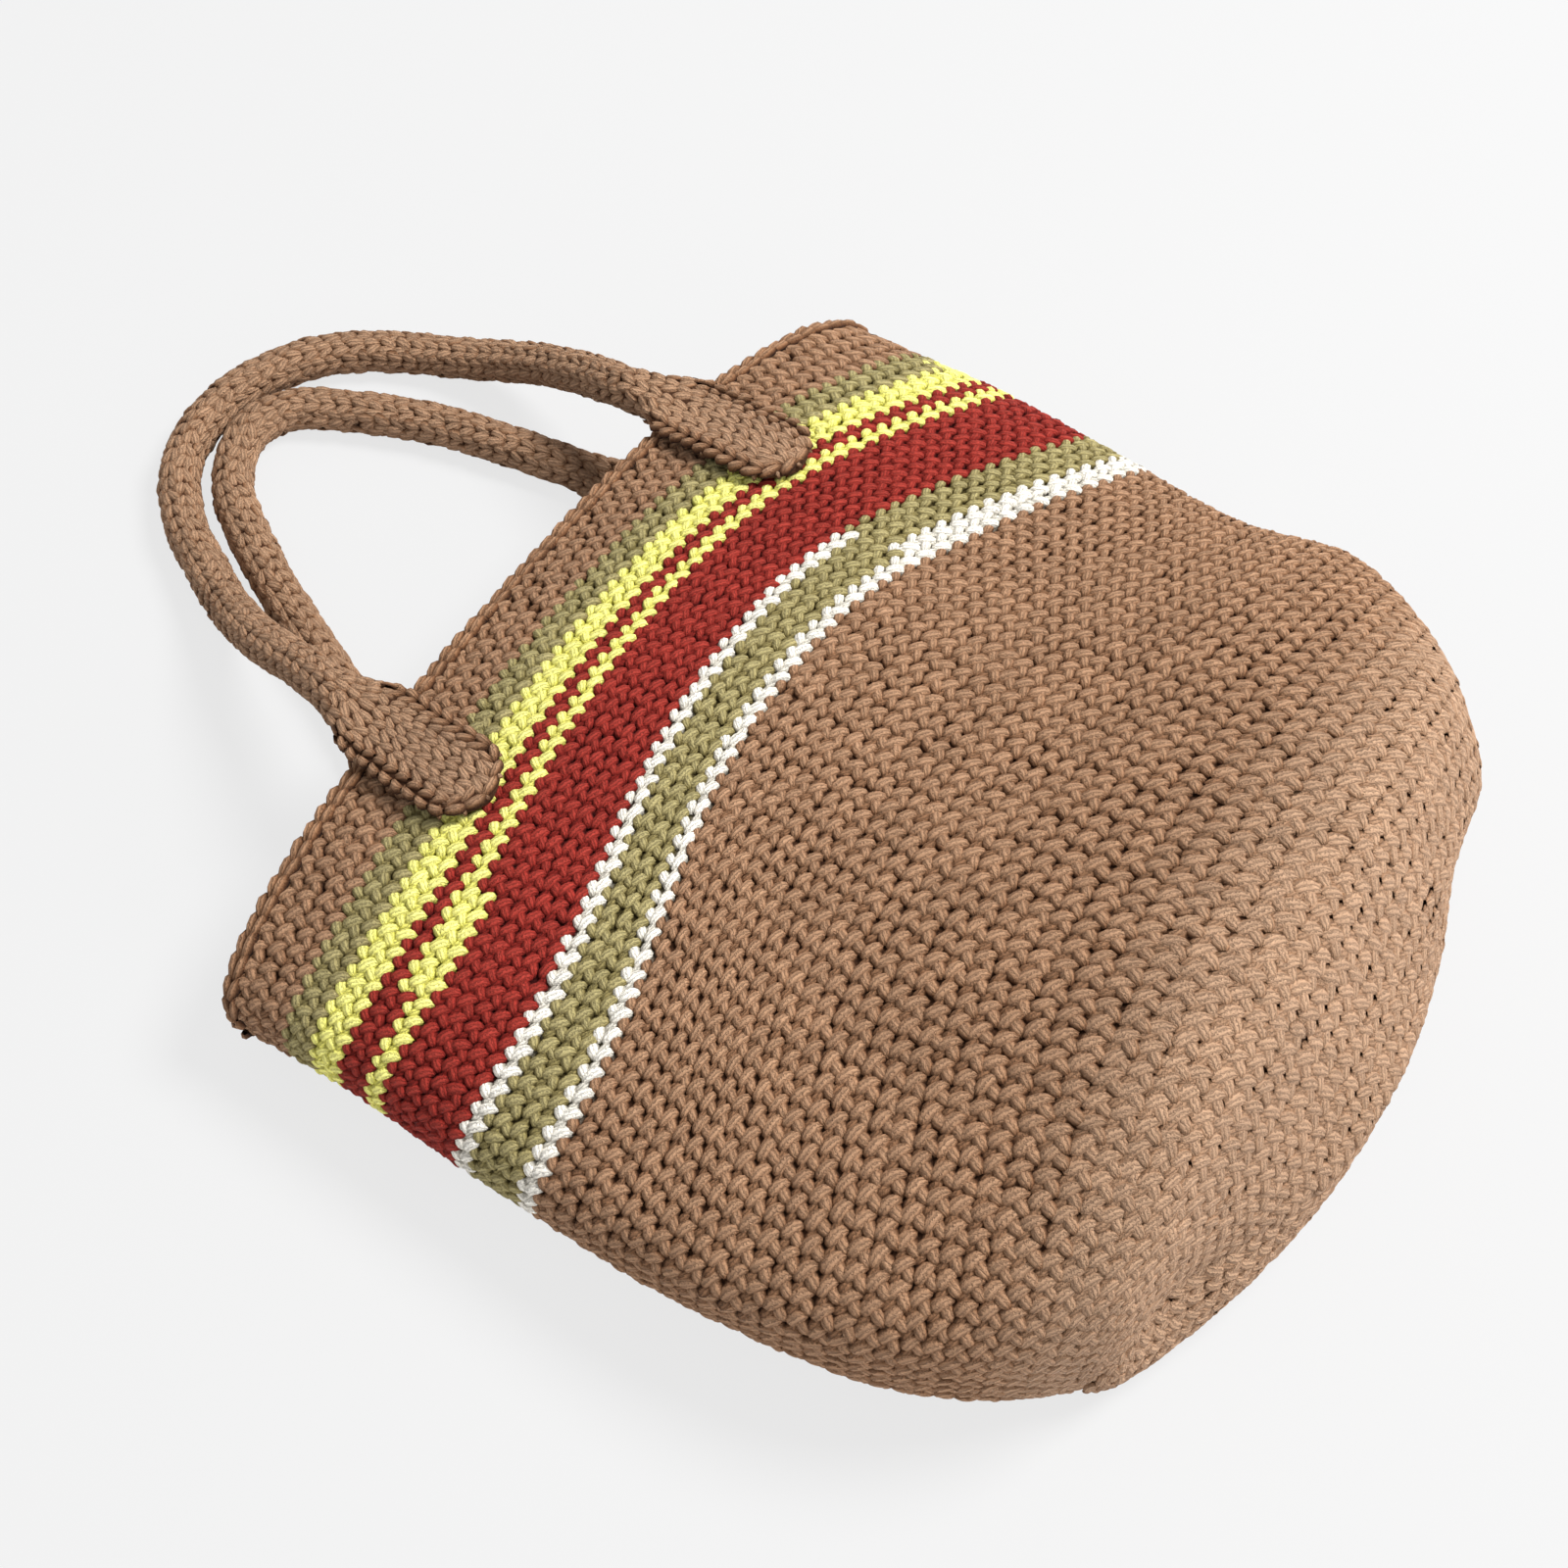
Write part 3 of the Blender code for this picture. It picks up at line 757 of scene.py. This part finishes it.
def shell_mesh(name, rings, colours, rounds, materials, inner_from):
    """Closed shell from rings of points, with a UV of stitches round and rounds along."""
    count, columns = rings.shape[:2]
    faces, uvs, slots = [], [], []
    for ring in range(count - 1):
        start, end = rounds[ring], rounds[ring + 1]
        for column in range(columns):
            here, after = ring * columns + column, ring * columns + (column + 1) % columns
            faces.append((here, here + columns, after + columns, after))
            left = column / columns * STITCHES_ROUND
            right = (column + 1) / columns * STITCHES_ROUND
            uvs += [(left, start), (left, end), (right, end), (right, start)]
            slots.append(int(ring >= inner_from))
    for ring, order in ((0, 1), (count - 1, -1)):
        faces.append([ring * columns + column for column in range(columns)][::order])
        uvs += [(0, rounds[ring])] * columns
        slots.append(int(ring >= inner_from))
    mesh = bpy.data.meshes.new(name)
    mesh.from_pydata((rings + SHIFT).reshape(-1, 3).tolist(), [], faces)
    store_uv(mesh, uvs)
    store(mesh, "yarn_colour", "FLOAT_COLOR", colours)
    for material in materials:
        mesh.materials.append(material)
    mesh.polygons.foreach_set("material_index", slots)
    mesh.shade_smooth()
    mesh.update()
    return mesh


def build_shell():
    share = np.arange(COLUMNS) / COLUMNS
    turn = turn_of(share) % 360
    rings, colours, rounds = [], [], []

    def add(points, at_round):
        strip = np.floor(at_round - spiral_lay(share) - SPIRAL_START)
        rings.append(points)
        colours.append(yarn_at(strip + share))
        rounds.append(at_round)

    def under_skin(at_round, depth):
        return fabric_point(at_round, turn) - fabric_outward(at_round, turn) * depth

    for at_round in (FOLD_END, FOLD_END - 1.5):
        add(fold_point(np.full(COLUMNS, at_round), turn), at_round)
    add(fabric_point(CREASE, turn), CREASE)
    for at_round in np.arange(CREASE - 0.5, -0.01, -0.5):
        add(under_skin(at_round, SKIN_DEPTH), at_round)
    lip = unit(fabric_point(0.0, turn) - fabric_point(1.0, turn)) * LIP
    for depth in (2 * MM, 4 * MM):
        add(under_skin(0.0, depth) + lip, 0)
    inner_from = len(rings) - 1
    for at_round in np.arange(0, 53.1, 1):
        add(under_skin(at_round, WALL), at_round)
    for inward in (0.4, 1):
        add(fold_cover_point(inward, turn), 55 + inward)
    rings, colours = np.array(rings), np.array(colours)
    return shell_mesh("bag_fabric", rings, colours, rounds, (PAINTED_SHADE_YARN, INSIDE), inner_from)


shell = add_piece("bag_fabric", build_shell())
print("fabric has", len(shell.data.polygons), "faces")

# %% [markdown]
# ## Six thousand stitches
#
# Each strip of the spiral is one round of stitches: 108 up to the edge of the base, and fewer and
# fewer in the rounds of the base, which is how a crocheted disc is shaped. Every stitch sits in
# the same relation to the one it is worked into, so the stitches of a strip keep their order from
# the middle of the front wall. How close they lie there changes with the stretch of the fabric,
# and the hidden back wall takes up the difference. A slant adds a little to each row, as the
# columns of stitches in a spiral wander. Wings and drops share their places and the seed of their
# chances, so they stay together. The strips go into five groups to keep each piece light.

# %% Places of the stitches
STRIPS = 57
FRONT_SHARE = 0.29
FRONT_COUNTS = (
    (0, 15, 19, 27, 35, 39, 43, 47, 51, 57),
    (120, 118, 115, 106, 102, 105, 108, 100, 88, 58),
)
SLANTS = (
    (3, 7, 11, 15, 19, 23, 27, 31, 35, 43, 47),
    (-0.05, -0.05, -0.02, 0.10, 0.25, 0.42, 0.24, -0.06, -0.17, -0.15, 0.05),
)
GROUPS = ((0, 11), (11, 22), (22, 34), (34, 46), (46, STRIPS))
FINE = np.linspace(0, 1, 1441)
UNEVEN_SHARE = 0.0003
UNEVEN_ROUND = 0.03
LOWER_FROM = 41
LOWER_WITHIN = 6
LOWER_BY = 0.55
LEAST_ROW = 4 * MM
LEAST_PITCH = 0.7


def distances(line):
    """How far along a line of points each of them lies."""
    return np.concatenate(([0], np.cumsum(np.linalg.norm(np.diff(line, axis=0), axis=1))))


def strip_stitches(strip):
    """Shares round the bag at which one strip has its stitches, and their pitches."""
    length = distances(fabric_point(strip_round(strip, FINE), turn_of(FINE)))
    total = length[-1]
    in_front = float(np.interp(strip, *FRONT_COUNTS))
    count = STITCHES_ROUND if strip < BASE_EDGE - 2 else round(in_front)
    shift = np.interp(np.arange(strip), *SLANTS).sum()
    order = (np.arange(count) + shift) % count / count - 0.5
    centre = np.interp(0.5, FINE, length) / total
    reach = FRONT_SHARE * (count / in_front)
    knots = (-0.5, -FRONT_SHARE, FRONT_SHARE, 0.5)
    places = (0, centre - reach, centre + reach, 1)
    wanted = np.interp(order, knots, places) * total
    ends = np.interp(order[:, None] + np.array((-0.5, 0.5)) / count, knots, places)
    pitch = np.diff(ends)[:, 0] * total
    return np.interp(wanted, length, FINE), np.maximum(pitch, total / count * LEAST_PITCH)


def stitch_points(first, last):
    """Places, directions and sizes of the stitches of some strips, and places on the spiral."""
    rows = [strip_stitches(strip) for strip in range(first, last)]
    share, pitch = (np.concatenate(parts) for parts in zip(*rows))
    strip = np.repeat(np.arange(first, last), [len(row[0]) for row in rows])
    hand = np.random.default_rng(first)
    share = (share + hand.normal(0, UNEVEN_SHARE, len(share))) % 1
    at_round = strip_round(strip, share) + hand.normal(0, UNEVEN_ROUND, len(share))
    turn = turn_of(share)
    outward = fabric_outward(at_round, turn)
    after = np.minimum(at_round + 0.5, CREASE)
    onward = unit(fabric_point(at_round, turn - 1) - fabric_point(at_round, turn + 1))
    baseward = unit(np.cross(onward, outward))
    crossing = fabric_point(after, turn) - fabric_point(at_round - 0.5, turn)
    row = np.sum(crossing * baseward, axis=-1) / (after - at_round + 0.5)
    height = YARN_HEIGHT * (1 - LOWER_BY * ease((at_round - LOWER_FROM) / LOWER_WITHIN))
    size = np.stack((np.maximum(row, LEAST_ROW), pitch, height), axis=-1)
    return (fabric_point(at_round, turn), outward, baseward, size), strip + share


stitch_pieces = []
for number, (first, last) in enumerate(GROUPS, 1):
    stitches, place = stitch_points(first, last)
    for name, shape, own_place in (("wings", wing, place), ("drops", drop, place + 1)):
        coloured = (*stitches, yarn_at(own_place))
        stitch_pieces.append(sewn_piece(f"{name}_{number}", shape, coloured, 10 + number))
    print("mean row, pitch and height:", stitches[3].mean(axis=0).round(4))

# %% [markdown]
# ## The finished edge
#
# The mouth ends in a round of slip stitches, which looks like a flat braid laid along the edge.
# One link of that braid is two slim loops that part from one foot.

# %% Chain link and rim
RIM_WIDTH = 7.6 * MM
RIM_HEIGHT = 2.2 * MM
RIM_LOWER = 1.2 * MM
RIM_OUT = 0.7 * MM


def brown(count):
    return yarn_at(np.zeros(count))


chain_link = yarn_shape("chain_link", both_ways(
    middle=((0.05, -0.80), (0.14, -0.52), (0.27, -0.08), (0.33, 0.33), (0.28, 0.66)),
    half_widths=(0.11, 0.24, 0.29, 0.27, 0.14),
    heights=(-0.2, 0.6, 1.0, 0.95, 0.2),
))


def rim_points():
    length = distances(fabric_point(0.0, turn_of(FINE)))
    pitch = length[-1] / STITCHES_ROUND
    turn = turn_of(np.interp(np.arange(STITCHES_ROUND) * pitch, length, FINE))
    outward = fabric_outward(0.0, turn)
    edge = fabric_point(0.0, turn)
    towards = unit(edge - fabric_point(1.0, turn))
    facing = unit(outward * 0.95 + towards * 0.3)
    onward = unit(fabric_point(0.0, turn - 1.0) - fabric_point(0.0, turn + 1.0))
    across = np.cross(onward, facing)
    size = np.tile((RIM_WIDTH, pitch, RIM_HEIGHT), (len(turn), 1))
    return edge - towards * RIM_LOWER + outward * RIM_OUT, facing, across, size, brown(len(turn))


rim = sewn_piece("rim_chain", chain_link, rim_points(), seed=31)

# %% [markdown]
# ## The handles
#
# A handle is a strip of crochet whose two ends lie flat on the bag as round tabs, while between
# them it is rolled up and sewn into a cord. Its route runs from tab to tab through points on the
# floor and in the air. Across the route the section changes from flat to round.

# %% Routes of the handles, in mm
HANDLE_THICKNESS = 17.5 * MM
TAB_WIDTH = 34 * MM
TAB_LENGTH = 56 * MM
ROLL_LENGTH = 36 * MM
CORNERS = 0.45
DRAPED_LENGTH = 57 * MM
DRAPE_END = 30 * MM
NEAR_BY = 8 * MM
FRONT_ROUTE = (
    (130, 96, 0), (66, 106, 0), (38, 107, 53), (11, 112, 39), (-18, 113, 25), (-46, 108, 14),
    (-72, 99, 9), (-96, 84, 9), (-114, 64, 9), (-124, 37, 9), (-124, 14, 9), (-116, -7, 9),
    (-96, -27, 9), (-66, -43, 12), (-44, -53, 19), (-18, -62, 32), (12, -68, 46), (38, -74, 57),
    (62, -77, 0), (120, -85, 0),
)
BACK_ROUTE = (
    (112, 96, 0), (50, 92, 0), (16, 86, 9), (-14, 80, 9), (-44, 72, 9), (-78, 57, 9),
    (-98, 44, 9), (-105, 28, 9), (-101, 11, 9), (-87, -6, 9), (-60, -22, 9), (-30, -36, 9),
    (9, -52, 9), (50, -69, 0), (112, -76, 0),
)
GUIDE_HEIGHT = 1.6 * MM


def front_guide():
    """Smooth sheet over the front wall near the mouth, for the tabs to lie on."""
    rounds, turns = np.arange(-8.0, 40), np.arange(10.0, 171, 5)
    at_round, turn = np.meshgrid(rounds, turns, indexing="ij")
    grid = fabric_point(at_round, turn) + fabric_outward(at_round, turn) * GUIDE_HEIGHT
    return BVHTree.FromPolygons(grid.reshape(-1, 3).tolist(), grid_faces(*at_round.shape))


GUIDE = front_guide()


def on_front(places):
    """Points on the front wall below the given places, and the way out of the wall there."""
    down = Vector((0, 0, -1))
    found = [GUIDE.ray_cast(Vector((x, y, 1)), down)[:2] for x, y in places]
    hits, outward = np.array(found).reshape(-1, 2, 3).swapaxes(0, 1)
    return hits, outward * np.sign(outward[:, 2:])


print("guide sheet ready, front wall at the right tab:", on_front([(0.1, 0.1)])[0].round(3))


# %% A handle's places from its route
class Handle:
    """Turns distances along a handle and places on its section into points."""

    def __init__(self, route, on_wall):
        self.on_wall = on_wall
        points = np.array(route, float) * MM
        ends = [0, 1, -2, -1]
        points[ends, 2] = TAB_THICKNESS / 2
        if on_wall:
            points[ends, 2] += on_front(points[ends, :2])[0][:, 2]
        before, beyond = points[:1] * 2 - points[1:2], points[-1:] * 2 - points[-2:-1]
        padded = np.concatenate((before, points, beyond))
        fine = []
        for a, b, c, d in zip(padded, padded[1:], padded[2:], padded[3:]):
            squared, cubed = a * 2 - b * 5 + c * 4 - d, b * 3 - a - c * 3 + d
            for t in np.arange(12) / 12:
                fine.append((b * 2 + (c - a) * t + squared * t**2 + cubed * t**3) / 2)
        fine.append(points[-1])
        self.line = np.array(fine)
        self.at = distances(self.line)
        self.length = self.at[-1]

    def middle(self, distance):
        return np.stack([np.interp(distance, self.at, axis) for axis in self.line.T], axis=-1)

    def from_tip(self, distance):
        return np.minimum(distance, self.length - distance)

    def rolled(self, distance):
        return ease((self.from_tip(distance) - TAB_LENGTH) / ROLL_LENGTH)

    def width(self, distance):
        from_tip = self.from_tip(distance)
        radius = TAB_WIDTH / 2
        tip = 2 * np.sqrt(np.maximum(radius**2 - (radius - np.minimum(from_tip, radius)) ** 2, 0))
        full = TAB_WIDTH + (HANDLE_THICKNESS - TAB_WIDTH) * self.rolled(distance)
        return np.where(from_tip < radius, tip, full)

    def thickness(self, distance):
        return TAB_THICKNESS + (HANDLE_THICKNESS - TAB_THICKNESS) * self.rolled(distance)

    def place(self, distance, a, b):
        """Point at a distance along the handle, a to the side and b up from its middle line."""
        distance, a, b = np.broadcast_arrays(distance, a, b)
        shape = distance.shape
        distance, a, b = distance.ravel(), a.ravel(), b.ravel()
        middle = self.middle(distance)
        forward = unit(self.middle(distance + NEAR_BY) - self.middle(distance - NEAR_BY))
        upward = unit(np.array((0, 0, 1.0)) - forward * forward[:, 2:])
        sideways = np.cross(forward, upward)
        thickness = self.thickness(distance)
        if not self.on_wall:
            middle[:, 2] = thickness / 2 + CLEARANCE / 2
        point = middle + sideways * a[:, None] + upward * b[:, None]
        if self.on_wall:
            over = 1 - ease((self.from_tip(distance) - DRAPED_LENGTH) / DRAPE_END)
            near = over > 0
            hit, outward = on_front(point[near, :2])
            draped = hit + outward * (CLEARANCE + thickness[near] / 2 + b[near])[:, None]
            point[near] += (draped - point[near]) * over[near, None]
        return point.reshape(*shape, 3)

    def surface(self, distance, angle, inset):
        """Point under the handle's surface at an angle of its section, where 90 degrees is up."""
        square = 1 - CORNERS * (1 - self.rolled(distance))
        half = np.maximum(self.width(distance) / 2 - inset, 0)
        cosine, sine = np.cos(np.radians(angle)), np.sin(np.radians(angle))
        a = np.sign(cosine) * np.abs(cosine) ** square * half
        b = np.sign(sine) * np.abs(sine) ** square * (self.thickness(distance) / 2 - inset)
        return self.place(distance, a, b)


front_handle = Handle(FRONT_ROUTE, on_wall=True)
back_handle = Handle(BACK_ROUTE, on_wall=False)
print("handles are", round(front_handle.length, 3), "and", round(back_handle.length, 3), "m long")

# %% [markdown]
# ## Rows of stitches on the handles
#
# Eight rows of stitches run along the strip, and every other row is half a stitch further on. On
# a tab the middle rows lie side by side and the outer ones give way to a braided border. Where
# the strip rolls up, the rows spread round the cord. Behind them is a plain core, painted dark as
# painted shade, as behind the stitches of the bag. Short stitches of sewing yarn reach over the
# edge of each tab to the bag.

# %% Cores of the handles
HANDLE_ROWS = 8
STITCH_ALONG = 7 * MM
CORE_SIDES = 28
CORE_INSET = 1.1 * MM
CORE_STEP = 4 * MM
TIP_ANGLES = (12, 25, 40, 55, 72, 90)


def handle_core(name, handle):
    tips = TAB_WIDTH / 2 * (1 - np.cos(np.radians(TIP_ANGLES)))
    between = np.arange(tips[-1] + CORE_STEP, handle.length - tips[-1] - CORE_STEP / 2, CORE_STEP)
    distance = np.concatenate((tips, between, handle.length - tips[::-1]))
    angle = (np.arange(CORE_SIDES) + 0.5) * 360 / CORE_SIDES
    rings = handle.surface(distance[:, None], angle[None, :], CORE_INSET)
    rounds = (distance / STITCH_ALONG).tolist()
    colours = brown(len(rings) * CORE_SIDES)
    return add_piece(name, shell_mesh(name, rings, colours, rounds, (PAINTED_SHADE_YARN,), len(rings)))


front_core = handle_core("front_handle_core", front_handle)
back_core = handle_core("back_handle_core", back_handle)
print("cores have", len(front_core.data.polygons), "and", len(back_core.data.polygons), "faces")


# %% Stitches of the handles
LANE = 5.8 * MM
BORDER_ROOM = 4.6 * MM
ROW_INSET = 1.3 * MM
ROW_HEIGHT = 1.4 * MM
ROW_TURN_JITTER = 0.3
SPAN_FLAT = 6.4 * MM
SPAN_MORE = 0.9 * MM
ROWS_FROM_TIP = 4 * MM

low_stitch = yarn_shape("low_stitch", both_ways(
    middle=((0.05, -0.68), (0.13, -0.44), (0.24, -0.06), (0.31, 0.26), (0.33, 0.52)),
    half_widths=(0.16, 0.30, 0.36, 0.33, 0.20),
    heights=(0.0, 0.8, 1.0, 0.9, 0.1),
))


def handle_stitches(handle):
    rows = []
    for row in range(HANDLE_ROWS):
        lane = row - (HANDLE_ROWS - 1) / 2
        first = ROWS_FROM_TIP + 0.5 * STITCH_ALONG * (row % 2)
        distance = np.arange(first, handle.length - ROWS_FROM_TIP, STITCH_ALONG)
        rolled = handle.rolled(distance)
        half = handle.width(distance) / 2
        flat_across = lane * LANE
        reach = np.clip(np.abs(flat_across) / np.maximum(half, MM), 0, 0.999)
        lying = np.degrees(np.arccos(reach ** (1 / (1 - CORNERS))))
        flat_angle = 90 - np.sign(lane) * (90 - lying)
        round_angle = 90 - lane * 360 / HANDLE_ROWS
        angle = flat_angle * (1 - rolled) + round_angle * rolled
        kept = (np.abs(flat_across) < half - BORDER_ROOM) | (rolled > 0.2)
        span = SPAN_FLAT + SPAN_MORE * rolled
        rows.append((distance[kept], angle[kept], span[kept]))
    distance, angle, span = (np.concatenate(parts) for parts in zip(*rows))

    def at(along=0.0, about=0.0, inset=ROW_INSET):
        return handle.surface(distance + along, angle + about, inset)

    point = at()
    ahead = at(along=2 * MM) - at(along=-2 * MM)
    aside = at(about=-6) - at(about=6)
    outward = unit(np.cross(aside, ahead))
    up = at(inset=ROW_INSET - MM) - point
    outward *= np.sign(np.sum(outward * up, axis=-1, keepdims=True) + 1e-12)
    across = unit(np.cross(ahead, outward))
    size = np.stack((span, np.full_like(span, STITCH_ALONG), np.full_like(span, ROW_HEIGHT)), -1)
    return point, outward, across, size, brown(len(point))


handle_rows = []
for name, handle, seed in (("front", front_handle, 41), ("back", back_handle, 42)):
    name += "_handle_stitches"
    stitches = handle_stitches(handle)
    handle_rows.append(sewn_piece(name, low_stitch, stitches, seed, ROW_TURN_JITTER))


# %% Braided borders and sewing yarn of the tabs
PAST_TAB = 12 * MM
BORDER = {
    "inset": 3.2 * MM, "level": TAB_THICKNESS / 2 - 1.7 * MM, "pitch": 6.6 * MM,
    "size": (7.4 * MM, 6.6 * MM, 1.9 * MM), "tilt": 0.15,
}
SEWING_YARN = {
    "inset": 0.9 * MM, "level": 0.9 * MM, "pitch": 9 * MM,
    "size": (4.6 * MM, 2.2 * MM, 1.0 * MM), "tilt": 0.9,
}


def round_the_tabs(handle, inset, level, pitch, size, tilt):
    """Places inside the outline of both tabs of a handle, for yarn that lies across it."""
    centre = TAB_WIDTH / 2
    radius = centre - inset
    straight = TAB_LENGTH + PAST_TAB - centre
    total = 2 * straight + math.pi * radius
    count = round(total / pitch)
    walked = (np.arange(count) + 0.5) / count * total
    levels = np.full(count, level)

    def at(far_end, walk, b, share=1.0):
        bend = np.clip((walk - straight) / radius, 0, math.pi)
        before = np.minimum(walk, straight) - straight
        after = np.maximum(walk - straight - math.pi * radius, 0)
        distance = centre - radius * np.sin(bend) - before + after
        if far_end:
            distance = handle.length - distance
        narrow = handle.width(distance) / TAB_WIDTH
        narrow = np.where(handle.from_tip(distance) < centre, 1, narrow)
        return handle.place(distance, radius * np.cos(bend) * narrow * share, b)

    parts = []
    for far_end in (False, True):
        point = at(far_end, walked, levels)
        outward = unit(at(far_end, walked, levels + MM) - point)
        onward = unit(at(far_end, walked + MM, levels) - at(far_end, walked - MM, levels))
        across = unit(np.cross(onward, outward))
        inner = at(far_end, walked, levels, 0.9)
        away = across * np.sign(np.sum((point - inner) * across, axis=-1, keepdims=True))
        facing = unit(outward + away * tilt)
        parts.append((point, facing, unit(np.cross(onward, facing))))
    point, facing, across = (np.concatenate(group) for group in zip(*parts))
    return point, facing, across, np.tile(size, (len(point), 1)), brown(len(point))


whip_stitch = yarn_shape("whip_stitch", [strand(
    middle=((-0.5, -0.3), (-0.25, -0.15), (0.0, 0.0), (0.25, 0.15), (0.5, 0.3)),
    half_widths=(0.25, 0.4, 0.45, 0.4, 0.25),
    heights=(-0.5, 0.8, 1.0, 0.8, -0.5),
)])
trims = []
for name, handle in (("front", front_handle), ("back", back_handle)):
    places = round_the_tabs(handle, **BORDER)
    trims.append(sewn_piece(name + "_tab_borders", chain_link, places, seed=51))
    places = round_the_tabs(handle, **SEWING_YARN)
    trims.append(sewn_piece(name + "_tab_yarn", whip_stitch, places, seed=52))

# %% [markdown]
# ## Hide the frame's parts under the new pieces
#
# The shell shows the solid of the bag, and the two cores the handles, so the frame's body and
# handles are hidden. The stitches only dress them. All pieces ride on the one body, because cloth
# has no joints.

# %% Ride and hide
for piece in (shell, rim, *stitch_pieces, front_core, back_core, *handle_rows, *trims):
    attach(piece, "root")
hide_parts("body")
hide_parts("front_handle")
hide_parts("back_handle")

# %% [markdown]
# ## Floor, light and camera
#
# The bag lies on a plain pale floor in an evenly lit studio. A broad lamp high on the right gives
# the stitches their light side, a weak one low in front of the base lifts the base, and the pale
# world fills the rest. To the camera the floor mostly glows by itself, which keeps it as pale as
# the photo's background without more light on the bag, and the soft shadow stays. The camera
# looks down from in front of the base, sixty-one degrees above the floor.

# %% Floor
FLOOR_TOP = -0.0005
FLOOR_GREY = (0.80, 0.80, 0.80, 1)
FLOOR_GLOW = (0.855, 0.855, 0.855, 1)
GLOW_SHARE = 0.88

floor_mesh = bpy.data.meshes.new("floor")
corners = [(x, y, FLOOR_TOP) for x, y in ((-6, -6), (6, -6), (6, 6), (-6, 6))]
floor_mesh.from_pydata(corners, [], [range(4)])
floor = add_piece("floor", floor_mesh)
paint, tree = new_material("pale_floor")
camera_ray = tree.node("ShaderNodeLightPath", output="Is Camera Ray")
matt = tree.node("ShaderNodeBsdfDiffuse", None, {"Color": FLOOR_GREY})
glow = tree.node("ShaderNodeEmission", None, {"Color": FLOOR_GLOW, "Strength": 1.0})
mixed = tree.node("ShaderNodeMixShader", None, {0: camera_ray * GLOW_SHARE, 1: matt, 2: glow})
tree.node("ShaderNodeOutputMaterial", None, {"Surface": mixed})
floor_mesh.materials.append(paint)
floor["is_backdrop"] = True

# %% World and lamps
world = bpy.data.worlds.new("studio")
bpy.context.scene.world = world
world.use_nodes = True
background = world.node_tree.nodes["Background"]
background.inputs["Color"].default_value = (0.98, 0.98, 1.0, 1)
background.inputs["Strength"].default_value = 0.52


def lamp(name, place, size, power):
    data = bpy.data.lights.new(name, "AREA")
    data.shape = "DISK"
    data.size = size
    data.energy = power
    holder = add_piece(name, data)
    holder.location = place
    holder.rotation_euler = (-Vector(place)).to_track_quat("-Z", "Y").to_euler()


lamp("key", (0.8, 1.1, 1.9), 0.9, 75)
lamp("side", (1.6, -0.4, 0.6), 0.8, 7)

# %% Camera
camera_data = bpy.data.cameras.new("camera")
camera_data.sensor_width = 36
camera_data.lens = 50.64
camera = add_piece("camera", camera_data)
camera.location = Vector((266.0, -344.1, 760.9)) * MM
target = Vector((43.5, -16.0, 50.0)) * MM
camera.rotation_euler = (target - camera.location).to_track_quat("-Z", "Y").to_euler()
bpy.context.scene.camera = camera
bpy.context.scene.view_settings.view_transform = "Standard"

# %% Sizes and finish
visual_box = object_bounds()
for axis in range(3):
    cad = cad_box[1][axis] - cad_box[0][axis]
    visual = visual_box[1][axis] - visual_box[0][axis]
    print("XYZ"[axis], "cad", round(cad, 4), "visual", round(visual, 4))
